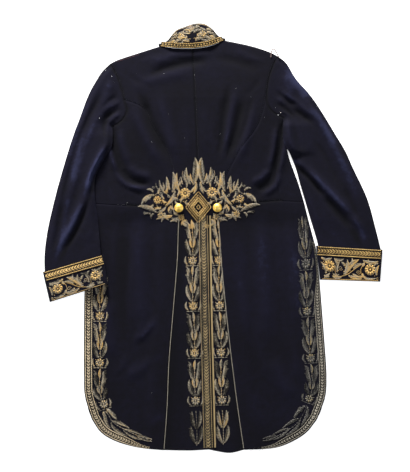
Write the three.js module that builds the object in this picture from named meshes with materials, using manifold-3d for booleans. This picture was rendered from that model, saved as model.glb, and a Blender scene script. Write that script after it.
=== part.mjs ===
// A man's embroidered wool court coat, laid flat on its front with its back up.
// Millimetres, +Z up, +Y towards the collar, the surface it lies on at z = 0.
import * as THREE from "three";
import Module from "manifold-3d";
import { mergeVertices } from "three/addons/utils/BufferGeometryUtils.js";

const wasm = await Module();
wasm.setup();

// ---- driving dimensions ----
const WALL = 2.4; // face cloth, interlining and lining together
const SLEEVE_WALL = 2.0;
const SLEEVE_SWELL = 4; // of the upper layer over the lower one, between folds
const GAP = 0.3; // between touching pieces
const SEAM = 0.25; // taken off each panel at a seam
const SLEEVE_SEAM = 1.0; // taken off the sleeves, which turn away from the armholes
const BRAID = 1.2; // thickness of the woven gold braid
const BRAID_WIDTH = { left: 18, right: 16, vent: 23, ventCord: 5 };
const BUTTON = { radius: 11, height: 5.5 };
const CORD_RADIUS = 1.1;
const TURN = 24; // width of a pleat's turned-under edge

// middle of the wall, for cloth on the floor and for cloth on one layer of it
const FLOOR = WALL / 2;
const OVER = FLOOR + WALL + GAP;
const LAP = WALL + 3 * GAP;
const WAIST = 78;
const BALANCE = { x: 1.75, y: -1 }; // middle of the coat's outline

// ---- seam and outline lines: rows of x, y down each line ----
const LINES = {
  neckLeft: [[-130, 478], [-90, 473], [-48, 472]],
  neckRight: [[-48, 472], [-8, 478], [30, 493]],
  shoulderLeft: [[-130, 478], [-190, 459], [-238, 443], [-254, 435]],
  shoulderRight: [[30, 493], [100, 478], [145, 463], [163, 454]],
  armholeLeft: [[-254, 435], [-232, 392], [-219, 345]],
  armholeRight: [[163, 454], [144, 408], [136, 365]],
  underarmLeft: [[-219, 345], [-213, 315], [-226, 292], [-248, 278]],
  underarmRight: [[136, 365], [138, 335], [152, 314], [178, 300]],
  sideBackLeft: [[-219, 345], [-173, 325], [-148, 278], [-111, 215], [-92, 145], [-83, 78]],
  sideBackRight: [[136, 365], [128, 322], [112, 278], [70, 220], [32, 145], [13, 78]],
  centreUpper: [[-48, 472], [-45, 410], [-42, 345]],
  centreLower: [[-42, 345], [-36, 200], [-35, 84]],
  sideLeft: [[-248, 278], [-240, 208], [-228, 158], [-216, 120], [-212, 82]],
  sideRight: [[178, 300], [169, 225], [160, 165], [166, 125], [172, 94]],
  waistLeft: [[-83, 78], [-150, 79], [-212, 82]],
  waistRight: [[13, 78], [95, 87], [172, 94]],
  waistFrontLeft: [[-212, 82], [-300, 88]],
  waistFrontRight: [[172, 94], [229, 92]],
  flankLeft: [[-248, 278], [-262, 245], [-278, 202], [-290, 165], [-297, 130], [-300, 88]],
  flankRight: [[178, 300], [184, 245], [192, 202], [204, 168], [216, 135], [229, 92]],
  frontShoulderLeft: [[-138, 475.5], [-190, 459], [-238, 443], [-254, 435]],
  frontShoulderRight: [[38, 491.5], [100, 478], [145, 463], [163, 454]],
  frontNeckLeft: [[-138, 475.5], [-114, 425], [-45, 392]],
  frontNeckRight: [[38, 491.5], [12, 430], [-39, 392]],
  frontEdgeLeft: [[-45, 392], [-43, 84]],
  frontEdgeRight: [[-39, 392], [-37, 84]],
  skirtEdgeLeft: [[-300, 88], [-308, 32], [-315, -60], [-319, -150], [-320, -342], [-318, -392], [-301, -451]],
  skirtEdgeRight: [[229, 92], [240, 48], [250.5, 5], [258, -30], [263.5, -80], [275, -185], [281, -262],
    [286, -345], [283, -395], [263, -452]],
  hemLeft: [[-301, -451], [-279, -484], [-247, -505], [-188, -523], [-121.5, -530]],
  hemRight: [[263, -452], [238, -484], [206, -506], [160, -524], [81, -529]],
  pleatLeft: [[-83, 78], [-86, 12], [-88, -50], [-98, -175], [-109, -310], [-114, -428], [-121.5, -530]],
  pleatRight: [[13, 78], [20, 12], [24, -50], [36, -175], [52, -316], [65, -418], [81, -529]],
  ventTop: [[-35, 84], [-30, 72], [-9, 58]],
  vent: [[-9, 58], [-7, -60], [-5, -180], [0, -380], [3.75, -527.5]],
  ventUnder: [[-35, 84], [-34, 40], [-32, -200], [-26, -524]],
  tailHemLeft: [[-121.5, -530], [-65, -531], [3.75, -527.5]],
  tailHemRight: [[-26, -524], [8, -532], [45, -537], [81, -529]],
  sleeveOuterLeft: [[-254, 435], [-272, 418], [-286, 398], [-308, 358], [-331, 297], [-346, 257],
    [-371, 177], [-393, 97], [-411, 17], [-418, -40], [-418, -83]],
  sleeveOuterRight: [[163, 454], [184, 438], [209, 398], [244, 358], [272, 318], [309, 257], [333, 217],
    [351, 177], [388, 97], [410, 17], [421, -28]],
  sleeveInnerLeft: [[-248, 278], [-250, 230], [-270, 195], [-291, 152], [-292, 100], [-285, 45], [-277, -43]],
  sleeveInnerRight: [[178, 300], [179, 240], [197, 205], [210, 172], [220, 135], [232, 95], [245, 50],
    [258, 8], [265.5, -20]],
  wristLeft: [[-267, -111], [-399, -155.5]],
  wristRight: [[276, -101.5], [413.5, -105.5]],
};

// ---- heights: rows of named columns, mm ----
// how far the back swells above the fronts, by distance up the coat
const CROWN = [
  { y: 40, rise: 0 },
  { y: 84, rise: 3.2 },
  { y: 150, rise: 5 },
  { y: 240, rise: 8 },
  { y: 350, rise: 9 },
  { y: 430, rise: 6 },
  { y: 485, rise: 3 },
];
// folds of the body: rise is up for a ridge, down for a trough, spread is its half width
const BODY_FOLDS = [
  { from: [-245, 262], by: [-240, 208], to: [-222, 140], rise: -6, spread: 13 },
  { from: [-222, 140], by: [-205, 128], to: [-168, 116], rise: -3, spread: 12 },
  { from: [176, 285], by: [167, 225], to: [158, 160], rise: -6, spread: 13 },
  { from: [158, 160], by: [148, 140], to: [120, 118], rise: -3, spread: 12 },
  { from: [-172, 356], by: [-150, 285], to: [-108, 198], rise: -2.5, spread: 12 },
  { from: [-200, 330], by: [-176, 270], to: [-128, 180], rise: 2.2, spread: 14 },
  { from: [41, 369], by: [28, 290], to: [18, 205], rise: -2.2, spread: 10 },
  { from: [75, 335], by: [61, 270], to: [40, 200], rise: -2.8, spread: 12 },
  { from: [110, 330], by: [98, 270], to: [70, 190], rise: 2, spread: 14 },
  { from: [-162, 404], by: [-90, 430], to: [-10, 443], rise: -2.4, spread: 11 },
  { from: [-160, 432], by: [-90, 452], to: [0, 460], rise: 1.8, spread: 12 },
  { from: [-120, 300], by: [-95, 240], to: [-80, 180], rise: 1.6, spread: 14 },
  { from: [-262, 240], by: [-268, 195], to: [-262, 130], rise: 2.6, spread: 11 },
  { from: [188, 225], by: [186, 180], to: [196, 128], rise: 2.6, spread: 11 },
];
const SKIRT_FOLDS = [
  { from: [-215, 52], by: [-222, -60], to: [-224, -270], rise: -1.6, spread: 16 },
  { from: [-258, -150], by: [-262, -210], to: [-250, -300], rise: 3, spread: 18 },
  { from: [-180, 50], by: [-182, -80], to: [-172, -240], rise: 3.6, spread: 22 },
  { from: [-142, -212], by: [-165, -250], to: [-187, -292], rise: 3, spread: 14 },
  { from: [-150, -300], by: [-180, -330], to: [-215, -345], rise: 2.4, spread: 14 },
  { from: [-165, -440], by: [-145, -445], to: [-120, -440], rise: 1.8, spread: 12 },
  { from: [-75, -190], by: [-85, -200], to: [-98, -228], rise: 1.6, spread: 10 },
  { from: [120, 60], by: [128, -70], to: [140, -260], rise: 3.4, spread: 22 },
  { from: [190, 50], by: [205, -60], to: [215, -210], rise: 3, spread: 20 },
  { from: [60, 30], by: [72, -90], to: [90, -230], rise: 2.2, spread: 16 },
  { from: [150, -300], by: [170, -350], to: [205, -400], rise: 2.4, spread: 18 },
];
const SLEEVE_FOLDS = {
  left: [
    { from: [-262, 225], by: [-300, 158], to: [-318, 100], rise: 7, spread: 14 },
    { from: [-318, 100], by: [-350, 28], to: [-400, -58], rise: 7.5, spread: 15 },
    { from: [-262, 190], by: [-290, 110], to: [-318, 40], rise: -3.5, spread: 13 },
    { from: [-318, 40], by: [-342, -8], to: [-385, -72], rise: -3.5, spread: 13 },
    { from: [-287, 333], by: [-335, 210], to: [-380, 15], rise: -3, spread: 14 },
    { from: [-300, 372], by: [-342, 235], to: [-395, 60], rise: 2.6, spread: 12 },
    { from: [-250, 395], by: [-262, 360], to: [-262, 310], rise: 2.8, spread: 12 },
    { from: [-210, 302], by: [-225, 290], to: [-188, 272], rise: -2, spread: 10 },
    { from: [-242, 330], by: [-256, 300], to: [-258, 262], rise: -2.4, spread: 10 },
  ],
  right: [
    { from: [178, 268], by: [186, 215], to: [225, 162], rise: 7, spread: 13 },
    { from: [225, 162], by: [290, 97], to: [365, 5], rise: 7.5, spread: 15 },
    { from: [198, 180], by: [240, 120], to: [285, 65], rise: -3.5, spread: 13 },
    { from: [285, 65], by: [315, 30], to: [350, -15], rise: -3, spread: 13 },
    { from: [170, 345], by: [215, 312], to: [252, 285], rise: -2.6, spread: 11 },
    { from: [188, 298], by: [203, 282], to: [215, 225], rise: 3, spread: 12 },
    { from: [232, 262], by: [243, 240], to: [242, 218], rise: -2.4, spread: 11 },
    { from: [225, 345], by: [285, 262], to: [345, 150], rise: 2.6, spread: 14 },
    { from: [178, 410], by: [190, 380], to: [188, 345], rise: 2.6, spread: 12 },
  ],
};

// ---- curves and heights ----
const curves = new Map();
for (const [name, rows] of Object.entries(LINES)) {
  const points = rows.map(([x, y]) => new THREE.Vector3(x, y, 0));
  curves.set(name, new THREE.CatmullRomCurve3(points, false, "centripetal"));
}

// points along a line, evenly by length
function along(name, steps) {
  return curves.get(name).getSpacedPoints(steps);
}

// several lines end to end, from rows of line name and number of steps
function edge(...runs) {
  return runs.flatMap(([name, steps], index) => along(name, steps).slice(index === 0 ? 0 : 1));
}

function smooth(low, high, value) {
  return THREE.MathUtils.smoothstep(value, Math.min(low, high), Math.max(low, high)) * Math.sign(high - low)
    + (high < low ? 1 : 0);
}

function tableValue(rows, y) {
  const last = rows[rows.length - 1];
  if (y <= rows[0].y) return rows[0].rise;
  if (y >= last.y) return last.rise;
  const index = rows.findIndex((row) => row.y >= y);
  const [low, high] = [rows[index - 1], rows[index]];
  return THREE.MathUtils.lerp(low.rise, high.rise, smooth(low.y, high.y, y));
}

// distance from a point to a line's polyline, in the plane
const polylines = new Map();
function distanceTo(name, x, y) {
  if (!polylines.has(name)) polylines.set(name, along(name, 40));
  const points = polylines.get(name);
  let least = Infinity;
  for (const point of points) least = Math.min(least, Math.hypot(point.x - x, point.y - y));
  return least;
}

// the sum of a table of folds at a point: each is a soft bell round an arc through three points
for (const fold of [...BODY_FOLDS, ...SKIRT_FOLDS, ...SLEEVE_FOLDS.left, ...SLEEVE_FOLDS.right]) {
  const points = [fold.from, fold.by, fold.to].map(([x, y]) => new THREE.Vector3(x, y, 0));
  fold.path = new THREE.CatmullRomCurve3(points).getSpacedPoints(16);
}
function folds(rows, x, y) {
  let sum = 0;
  for (const { path, rise, spread } of rows) {
    let best = { distance: Infinity, share: 0 };
    path.forEach((point, index) => {
      const distance = Math.hypot(point.x - x, point.y - y);
      if (distance < best.distance) best = { distance, share: index / (path.length - 1) };
    });
    const fade = Math.min(1, 4 * best.share + 0.15) * Math.min(1, 4 * (1 - best.share) + 0.15);
    sum += rise * fade * Math.exp(-((best.distance / spread) ** 2));
  }
  return sum;
}

// height of the back's cloth above its lowest place, before any lap
const BACK_MIDDLE = -34;
const BACK_HALF = 205;
function bodyMid(x, y) {
  const across = Math.min(1, Math.abs(x - BACK_MIDDLE) / BACK_HALF);
  const swell = tableValue(CROWN, y) * (1 - across ** 2.4);
  const upper = Math.max(0, swell + folds(BODY_FOLDS, x, y) * smooth(60, 110, y));
  return THREE.MathUtils.lerp(FLOOR, OVER, smooth(20, WAIST, y)) + upper;
}

// skirts lie on the floor, flat beside their edges and along the pleats, with long soft folds between
function skirtMid(side, x, y) {
  const flat = Math.min(distanceTo(`skirtEdge${side}`, x, y), distanceTo(`hem${side}`, x, y));
  const waist = smooth(20, WAIST, y);
  const free = smooth(22, 48, flat) * (1 - waist);
  const pleat = 1 - smooth(TURN + 6, TURN + 34, distanceTo(`pleat${side}`, x, y));
  const lifted = Math.max(0, folds(SKIRT_FOLDS, x, y)) * free * (1 - pleat);
  return bodyMid(x, y) + lifted + (OVER - FLOOR) * pleat * (1 - waist);
}

// the left tail laps over the right one along the vent
function tailMid(side, x, y) {
  const lap = side === "Left" ? smooth(-74, -44, x) * smooth(112, 86, y) * LAP : 0;
  return bodyMid(x, y) + lap;
}

// how far a point of a sleeve is above its cuff, as a share: 1 where the sleeve lies in the cuff
function intoCuff(side, x, y) {
  const above = side === "Left" ? y + 85 - (x + 422) * 0.29 : y + 24 - (342 - x) * 0.06;
  return smooth(80, 30, above);
}

// how high a sleeve is carried by the coat's flank and skirt beneath it
const CARRY = { flank: 7.6, skirt: 4.8, tilt: 0.0465, tiltFrom: -424 };
function carried(side, x, y) {
  if (side === "Right") {
    const flankX = 178 + 22 * smooth(300, 180, y);
    return CARRY.flank * smooth(flankX + 70, flankX + 3, x) * smooth(300, 278, y) * smooth(202, 218, y);
  }
  const edgeX = y > 88 ? -248 - 44 * smooth(278, 88, y) : -292 - 28 * smooth(88, -150, y);
  const height = THREE.MathUtils.lerp(CARRY.skirt, CARRY.flank, smooth(40, 100, y));
  const soft = height * smooth(edgeX - 85, edgeX - 4, x) * smooth(290, 250, y);
  const stiff = Math.max(0, (x - CARRY.tiltFrom) * CARRY.tilt);
  return THREE.MathUtils.lerp(soft, stiff, intoCuff(side, x, y));
}

// a sleeve's two layers: low is the one beneath, and top rises over it in folds
function sleeveLow(side, x, y) {
  return SLEEVE_WALL / 2 + carried(side, x, y) + (SLEEVE_WALL + GAP) * intoCuff(side, x, y);
}
function sleeveTop(side, x, y) {
  const inner = distanceTo(`sleeveInner${side}`, x, y);
  const outer = distanceTo(`sleeveOuter${side}`, x, y);
  const arm = Math.min(distanceTo(`armhole${side}`, x, y), distanceTo(`underarm${side}`, x, y));
  const edgeFade = smooth(3, 34, Math.min(inner, outer)) * (1 - intoCuff(side, x, y));
  const relief = Math.max(0, SLEEVE_SWELL + folds(SLEEVE_FOLDS[side.toLowerCase()], x, y)) * edgeFade;
  const own = sleeveLow(side, x, y) + SLEEVE_WALL + GAP + relief;
  return THREE.MathUtils.lerp(Math.max(own, bodyMid(x, y)), own, smooth(4, 40, arm));
}

// ---- from points to solids ----
// A wall between two grids of points, outer and inner. With wrap, the columns close on themselves.
function closedWall(outer, inner, wrap = false) {
  const rows = outer.length;
  const columns = outer[0].length;
  const positions = [];
  const quad = (a, b, c, d) => {
    for (const point of [a, b, c, a, c, d]) positions.push(point.x, point.y, point.z);
  };
  const lastColumn = wrap ? columns : columns - 1;
  for (let i = 0; i < rows - 1; i += 1) {
    for (let j = 0; j < lastColumn; j += 1) {
      const k = (j + 1) % columns;
      quad(outer[i][j], outer[i + 1][j], outer[i + 1][k], outer[i][k]);
      quad(inner[i][k], inner[i + 1][k], inner[i + 1][j], inner[i][j]);
    }
    if (!wrap) {
      quad(inner[i][0], inner[i + 1][0], outer[i + 1][0], outer[i][0]);
      quad(outer[i][columns - 1], outer[i + 1][columns - 1], inner[i + 1][columns - 1], inner[i][columns - 1]);
    }
  }
  for (let j = 0; j < lastColumn; j += 1) {
    const k = (j + 1) % columns;
    const end = rows - 1;
    quad(outer[0][k], inner[0][k], inner[0][j], outer[0][j]);
    quad(outer[end][j], inner[end][j], inner[end][k], outer[end][k]);
  }
  return facingOut(positions);
}

// a closed geometry from triangles, turned right way out by its signed volume
function facingOut(positions) {
  const geometry = new THREE.BufferGeometry();
  geometry.setAttribute("position", new THREE.Float32BufferAttribute(positions, 3));
  let volume = 0;
  const [a, b, c] = [new THREE.Vector3(), new THREE.Vector3(), new THREE.Vector3()];
  for (let i = 0; i < positions.length; i += 9) {
    a.fromArray(positions, i);
    b.fromArray(positions, i + 3);
    c.fromArray(positions, i + 6);
    volume += a.dot(b.clone().cross(c));
  }
  if (volume < 0) {
    for (let i = 0; i < positions.length; i += 9) {
      const [second, third] = [positions.slice(i + 3, i + 6), positions.slice(i + 6, i + 9)];
      positions.splice(i + 3, 6, ...third, ...second);
    }
    geometry.setAttribute("position", new THREE.Float32BufferAttribute(positions, 3));
  }
  return mergeVertices(geometry, 1e-4);
}

// A Coons patch: the plan point at u across and v down, between four edges of points.
function patch(left, right, top, bottom) {
  const at = (points, share) => {
    const place = Math.min(Math.max(share, 0), 1) * (points.length - 1);
    const index = Math.min(Math.floor(place), points.length - 2);
    return points[index].clone().lerp(points[index + 1], place - index);
  };
  return (u, v) => {
    const sides = at(left, v).lerp(at(right, v), u);
    const ends = at(top, u).lerp(at(bottom, u), v);
    const corners = left[0].clone().lerp(right[0], u)
      .lerp(left[left.length - 1].clone().lerp(right[right.length - 1], u), v);
    return sides.add(ends).sub(corners);
  };
}

// Plan points of a panel, with each seam edge drawn in by SEAM, and borders at fixed distances from an edge.
function planGrid({ left, right, top, bottom, columns, firstBorder = [], lastBorder = [], seam = SEAM }) {
  const point = patch(left, right, top, bottom);
  const rows = left.length;
  const grid = [];
  for (let i = 0; i < rows; i += 1) {
    const v = i / (rows - 1);
    const width = Math.max(1, point(0, v).distanceTo(point(1, v)));
    const near = [seam, ...firstBorder].map((distance) => Math.min(distance / width, 0.4));
    const far = [...lastBorder].reverse().concat([seam]).map((distance) => 1 - Math.min(distance / width, 0.4));
    const shares = [...near];
    for (let j = 1; j <= columns; j += 1) {
      shares.push(THREE.MathUtils.lerp(near[near.length - 1], far[0], j / (columns + 1)));
    }
    shares.push(...far);
    grid.push(shares.map((u) => point(u, v)));
  }
  const drawIn = (row, next) => row.forEach((place, j) => {
    const step = next[j].clone().sub(place);
    if (step.length() > 0) place.add(step.setLength(seam));
  });
  drawIn(grid[0], grid[1]);
  drawIn(grid[rows - 1], grid[rows - 2]);
  return grid;
}

// A sheet whose thickness stands straight up, so neighbours at a seam stay parallel.
function sheet(grid, mid, wall) {
  const raise = (offset) => grid.map((row) => row.map((point) => {
    const z = Math.max(0, mid(point.x, point.y) - wall / 2) + (offset > 0 ? wall : 0);
    return new THREE.Vector3(point.x, point.y, z);
  }));
  return closedWall(raise(1), raise(-1));
}

// A sheet with its edge turned under: the turned part is joined to the row of points on each line.
// rows hold plan points from the fold inwards. The fold is a half circle in section.
function turnedSheet(grid, mid, low, wall, turn, foldAt) {
  const outer = [];
  const inner = [];
  grid.forEach((row) => {
    const ordered = foldAt === "last" ? [...row].reverse() : row;
    const inward = ordered[2].clone().sub(ordered[0]).setLength(1);
    const start = ordered[0];
    const topZ = mid(start.x, start.y);
    const lowZ = low(start.x, start.y);
    const radius = (topZ - lowZ) / 2;
    const place = (distance, z) => {
      const point = start.clone().addScaledVector(inward, distance);
      point.z = z;
      return point;
    };
    const under = [turn, turn / 2, radius + wall / 2];
    const outerRow = under.map((distance) => place(distance, lowZ - wall / 2));
    const innerRow = under.map((distance) => place(distance, lowZ + wall / 2));
    for (const angle of [-50, 0, 50]) {
      const turnAngle = THREE.MathUtils.degToRad(angle);
      const outside = radius + wall / 2;
      const inside = Math.max(0.05, radius - wall / 2);
      const middle = (topZ + lowZ) / 2;
      outerRow.push(place(outside - outside * Math.cos(turnAngle), middle + outside * Math.sin(turnAngle)));
      innerRow.push(place(outside - inside * Math.cos(turnAngle), middle + inside * Math.sin(turnAngle)));
    }
    for (const point of ordered.slice(1)) {
      const z = mid(point.x, point.y);
      outerRow.push(new THREE.Vector3(point.x, point.y, z + wall / 2));
      innerRow.push(new THREE.Vector3(point.x, point.y, z - wall / 2));
    }
    outer.push(outerRow);
    inner.push(innerRow);
  });
  return closedWall(outer, inner);
}

// a braid on the flat border of a panel, from one distance to another in from its edge line
function borderStrip(points, from, to, top) {
  const side = (distance) => points.map((point, index) => {
    const before = points[Math.max(0, index - 1)];
    const after = points[Math.min(points.length - 1, index + 1)];
    const direction = after.clone().sub(before).normalize();
    return new THREE.Vector3(point.x - direction.y * distance, point.y + direction.x * distance, 0);
  });
  const grid = [side(from), side(to)];
  const raise = (offset) => grid.map((row) => row.map((point) => {
    const z = top(point.x, point.y) + offset;
    return new THREE.Vector3(point.x, point.y, z);
  }));
  return closedWall(raise(GAP + BRAID), raise(GAP));
}

function cord(points, radius, sides) {
  const outline = new THREE.Shape();
  for (let i = 0; i < sides; i += 1) {
    const angle = (2 * Math.PI * i) / sides;
    const [x, y] = [radius * Math.cos(angle), radius * Math.sin(angle)];
    if (i === 0) outline.moveTo(x, y);
    else outline.lineTo(x, y);
  }
  const path = new THREE.CatmullRomCurve3(points, false, "centripetal");
  const settings = { steps: points.length - 1, bevelEnabled: false, extrudePath: path };
  const geometry = new THREE.ExtrudeGeometry(outline, settings);
  geometry.deleteAttribute("normal");
  geometry.deleteAttribute("uv");
  return mergeVertices(geometry, 1e-4);
}

function asManifold(geometry) {
  const { position } = geometry.attributes;
  return new wasm.Manifold(new wasm.Mesh({
    numProp: 3,
    vertProperties: new Float32Array(position.array),
    triVerts: new Uint32Array(geometry.index.array),
  }));
}

function joined(first, second) {
  const mesh = asManifold(first).add(asManifold(second)).getMesh();
  const geometry = new THREE.BufferGeometry();
  geometry.setAttribute("position", new THREE.BufferAttribute(new Float32Array(mesh.vertProperties), 3));
  geometry.setIndex(new THREE.BufferAttribute(new Uint32Array(mesh.triVerts), 1));
  return geometry;
}

// ---- the coat ----
const coat = new THREE.Group();
coat.name = "embroidered_court_coat";
const FINISH = {
  wool: { color: 0x1c1b26, roughness: 0.95, metalness: 0 },
  gold: { color: 0xa08452, roughness: 0.5, metalness: 0.7 },
  tarnish: { color: 0x77705a, roughness: 0.6, metalness: 0.6 },
  gilt: { color: 0xd8a83a, roughness: 0.3, metalness: 1 },
};
function piece(name, geometry, finish) {
  const mesh = new THREE.Mesh(geometry, new THREE.MeshStandardMaterial(FINISH[finish]));
  mesh.name = name;
  coat.add(mesh);
  return mesh;
}

// numbers of rows that neighbouring panels share along their common seams
const STEPS = { shoulder: 3, armhole: 3, underarm: 6, sideBack: 8, pleat: 14, front: 8, waist: 4, sleeve: 14 };

// Back panels, each in one with its tail
function backPanel(side) {
  const upper = edge([`shoulder${side}`, STEPS.shoulder], [`armhole${side}`, STEPS.armhole],
    [`sideBack${side}`, STEPS.sideBack]);
  const tailEdge = along(`pleat${side}`, STEPS.pleat).slice(1);
  const outerEdge = [...upper, ...tailEdge];
  const centre = edge(["centreUpper", STEPS.shoulder + STEPS.armhole], ["centreLower", STEPS.sideBack]);
  const ventEdge = side === "Left"
    ? edge(["ventTop", 2], ["vent", STEPS.pleat - 2]).slice(1)
    : along("ventUnder", STEPS.pleat).slice(1);
  const hem = along(`tailHem${side}`, 6);
  const grid = planGrid({
    left: side === "Left" ? outerEdge : [...centre, ...ventEdge],
    right: side === "Left" ? [...centre, ...ventEdge] : outerEdge,
    top: along(`neck${side}`, 6),
    bottom: hem,
    columns: 6,
    firstBorder: [5],
    lastBorder: [5],
  });
  return sheet(grid, (x, y) => tailMid(side, x, y), WALL);
}

// Side bodies, between the side-back seam and the underarm seam
function sidePanel(side) {
  const grid = planGrid({
    left: along(`sideBack${side}`, STEPS.sideBack),
    right: along(`side${side}`, STEPS.sideBack),
    top: along(`underarm${side}`, STEPS.underarm),
    bottom: along(`waist${side}`, STEPS.waist),
    columns: 5,
    firstBorder: [5],
    lastBorder: [5],
  });
  return sheet(grid, bodyMid, WALL);
}

// Fronts: a lower sheet on the floor, and a flap that turns up round the coat's side to the underarm seam
const FRONT_INSET = 7;
function frontPanel(side) {
  const sign = side === "Left" ? 1 : -1;
  const flank = along(`flank${side}`, STEPS.front).map((point) => point.clone().setX(point.x + sign * FRONT_INSET));
  const arm = edge([`armhole${side}`, STEPS.armhole], [`underarm${side}`, STEPS.underarm]);
  const outerEdge = [...arm, ...flank.slice(1)];
  const innerEdge = edge([`frontNeck${side}`, STEPS.armhole + STEPS.underarm], [`frontEdge${side}`, STEPS.front]);
  const lower = planGrid({
    left: outerEdge,
    right: innerEdge,
    top: [...along(`frontShoulder${side}`, STEPS.shoulder)].reverse(),
    bottom: [outerEdge[outerEdge.length - 1], innerEdge[innerEdge.length - 1]],
    columns: 3,
  });
  const lowerSheet = sheet(lower, () => FLOOR, WALL);
  const flankLine = along(`flank${side}`, STEPS.sideBack).slice(1);
  const seamLine = along(`side${side}`, STEPS.sideBack).slice(1);
  const flap = flankLine.map((fold, i) => {
    const seam = seamLine[i];
    const width = fold.distanceTo(seam);
    return [0, 5, Math.max(7, width * 0.45), width - 2 * SEAM]
      .map((distance) => fold.clone().lerp(seam, distance / width));
  });
  flap[flap.length - 1].forEach((point, j) => {
    point.lerp(flap[flap.length - 2][j], 0.03);
  });
  const flapMid = (x, y) => Math.max(OVER, bodyMid(x, y));
  return joined(lowerSheet, turnedSheet(flap, flapMid, () => FLOOR, WALL, 16, "first"));
}

// Skirts, spread in one layer, with the pleat edge turned under
function skirtPanel(side) {
  const pleat = along(`pleat${side}`, STEPS.pleat);
  const grid = planGrid({
    left: pleat,
    right: along(`skirtEdge${side}`, STEPS.pleat),
    top: edge([`waist${side}`, STEPS.waist], [`waistFront${side}`, 2]),
    bottom: [...along(`hem${side}`, 8)].reverse(),
    columns: 7,
    firstBorder: [5],
    lastBorder: [24],
  });
  return turnedSheet(grid, (x, y) => skirtMid(side, x, y), () => FLOOR, WALL, TURN, "first");
}

// Sleeves: two layers with the same outline, lying on each other
function sleevePanel(side, layer) {
  const inner = edge([`underarm${side}`, STEPS.underarm], [`sleeveInner${side}`, STEPS.sleeve]);
  const outer = along(`sleeveOuter${side}`, inner.length - 1);
  const wrist = along(`wrist${side}`, 6);
  const lower = layer === "top" ? sleeveTop : sleeveLow;
  const tuck = 3;
  const grid = planGrid({
    left: [...inner, inner[inner.length - 1].clone().lerp(wrist[0], 0.5), wrist[0]],
    right: [...outer, outer[outer.length - 1].clone().lerp(wrist[6], 0.5), wrist[6]],
    top: along(`armhole${side}`, STEPS.armhole).reverse(),
    bottom: wrist,
    columns: layer === "top" ? 7 : 4,
    firstBorder: [tuck],
    lastBorder: [tuck],
    seam: SLEEVE_SEAM,
  });
  return sheet(grid, (x, y) => lower(side, x, y), SLEEVE_WALL);
}

// Cuffs: flattened rings round the sleeves' ends. Corners are listed from the sleeve's side.
const CUFFS = {
  Left: { innerTop: [-271, -41], outerTop: [-422.5, -85], innerEnd: [-260, -114], outerEnd: [-405, -160] },
  Right: { innerTop: [259.5, -19], outerTop: [426, -29], innerEnd: [269.5, -104], outerEnd: [420, -109] },
};
const CUFF_LOW = SLEEVE_WALL / 2;
const CUFF_TOP = CUFF_LOW + 3 * (SLEEVE_WALL + GAP) + GAP;
function cuffSection(side, from, to, offset) {
  const radius = (CUFF_TOP - CUFF_LOW) / 2;
  const direction = to.clone().sub(from);
  const length = direction.length();
  direction.normalize();
  const reach = radius + SLEEVE_WALL / 2;
  const points = [];
  const add = (distance, z) => {
    const point = from.clone().addScaledVector(direction, distance);
    point.z = z + carried(side, point.x, point.y);
    points.push(point);
  };
  const across = [0, 0.2, 0.4, 0.6, 0.8, 1];
  const flat = across.map((share) => reach + share * (length - 2 * reach));
  const middle = (CUFF_LOW + CUFF_TOP) / 2;
  const around = radius + offset;
  for (const distance of flat) add(distance, CUFF_TOP + offset);
  for (const angle of [45, 0, -45]) {
    const turn = THREE.MathUtils.degToRad(angle);
    add(length - reach + around * Math.cos(turn), middle + around * Math.sin(turn));
  }
  for (const distance of [...flat].reverse()) add(distance, CUFF_LOW - offset);
  for (const angle of [-45, 0, 45]) {
    const turn = THREE.MathUtils.degToRad(angle);
    add(reach - around * Math.cos(turn), middle + around * Math.sin(turn));
  }
  return points;
}
function cuffRows(side, offset) {
  const corner = (name) => new THREE.Vector3(...CUFFS[side][name], 0);
  return [0, 0.27, 0.62, 1].map((share) => cuffSection(side,
    corner("innerTop").lerp(corner("innerEnd"), share),
    corner("outerTop").lerp(corner("outerEnd"), share), offset));
}
function cuff(side) {
  return closedWall(cuffRows(side, SLEEVE_WALL / 2), cuffRows(side, -SLEEVE_WALL / 2), true);
}

// The braid round a cuff's upper edge, on the six flat points of its upper side
function cuffBraid(side) {
  const rows = cuffRows(side, SLEEVE_WALL / 2).slice(0, 2).map((row) => row.slice(0, 6));
  rows[0].forEach((point, j) => point.lerp(rows[1][j], 0.06));
  const lift = (height) => rows.map((row) => row.map((point) => point.clone().setZ(point.z + height)));
  return closedWall(lift(GAP + BRAID), lift(GAP));
}

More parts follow.
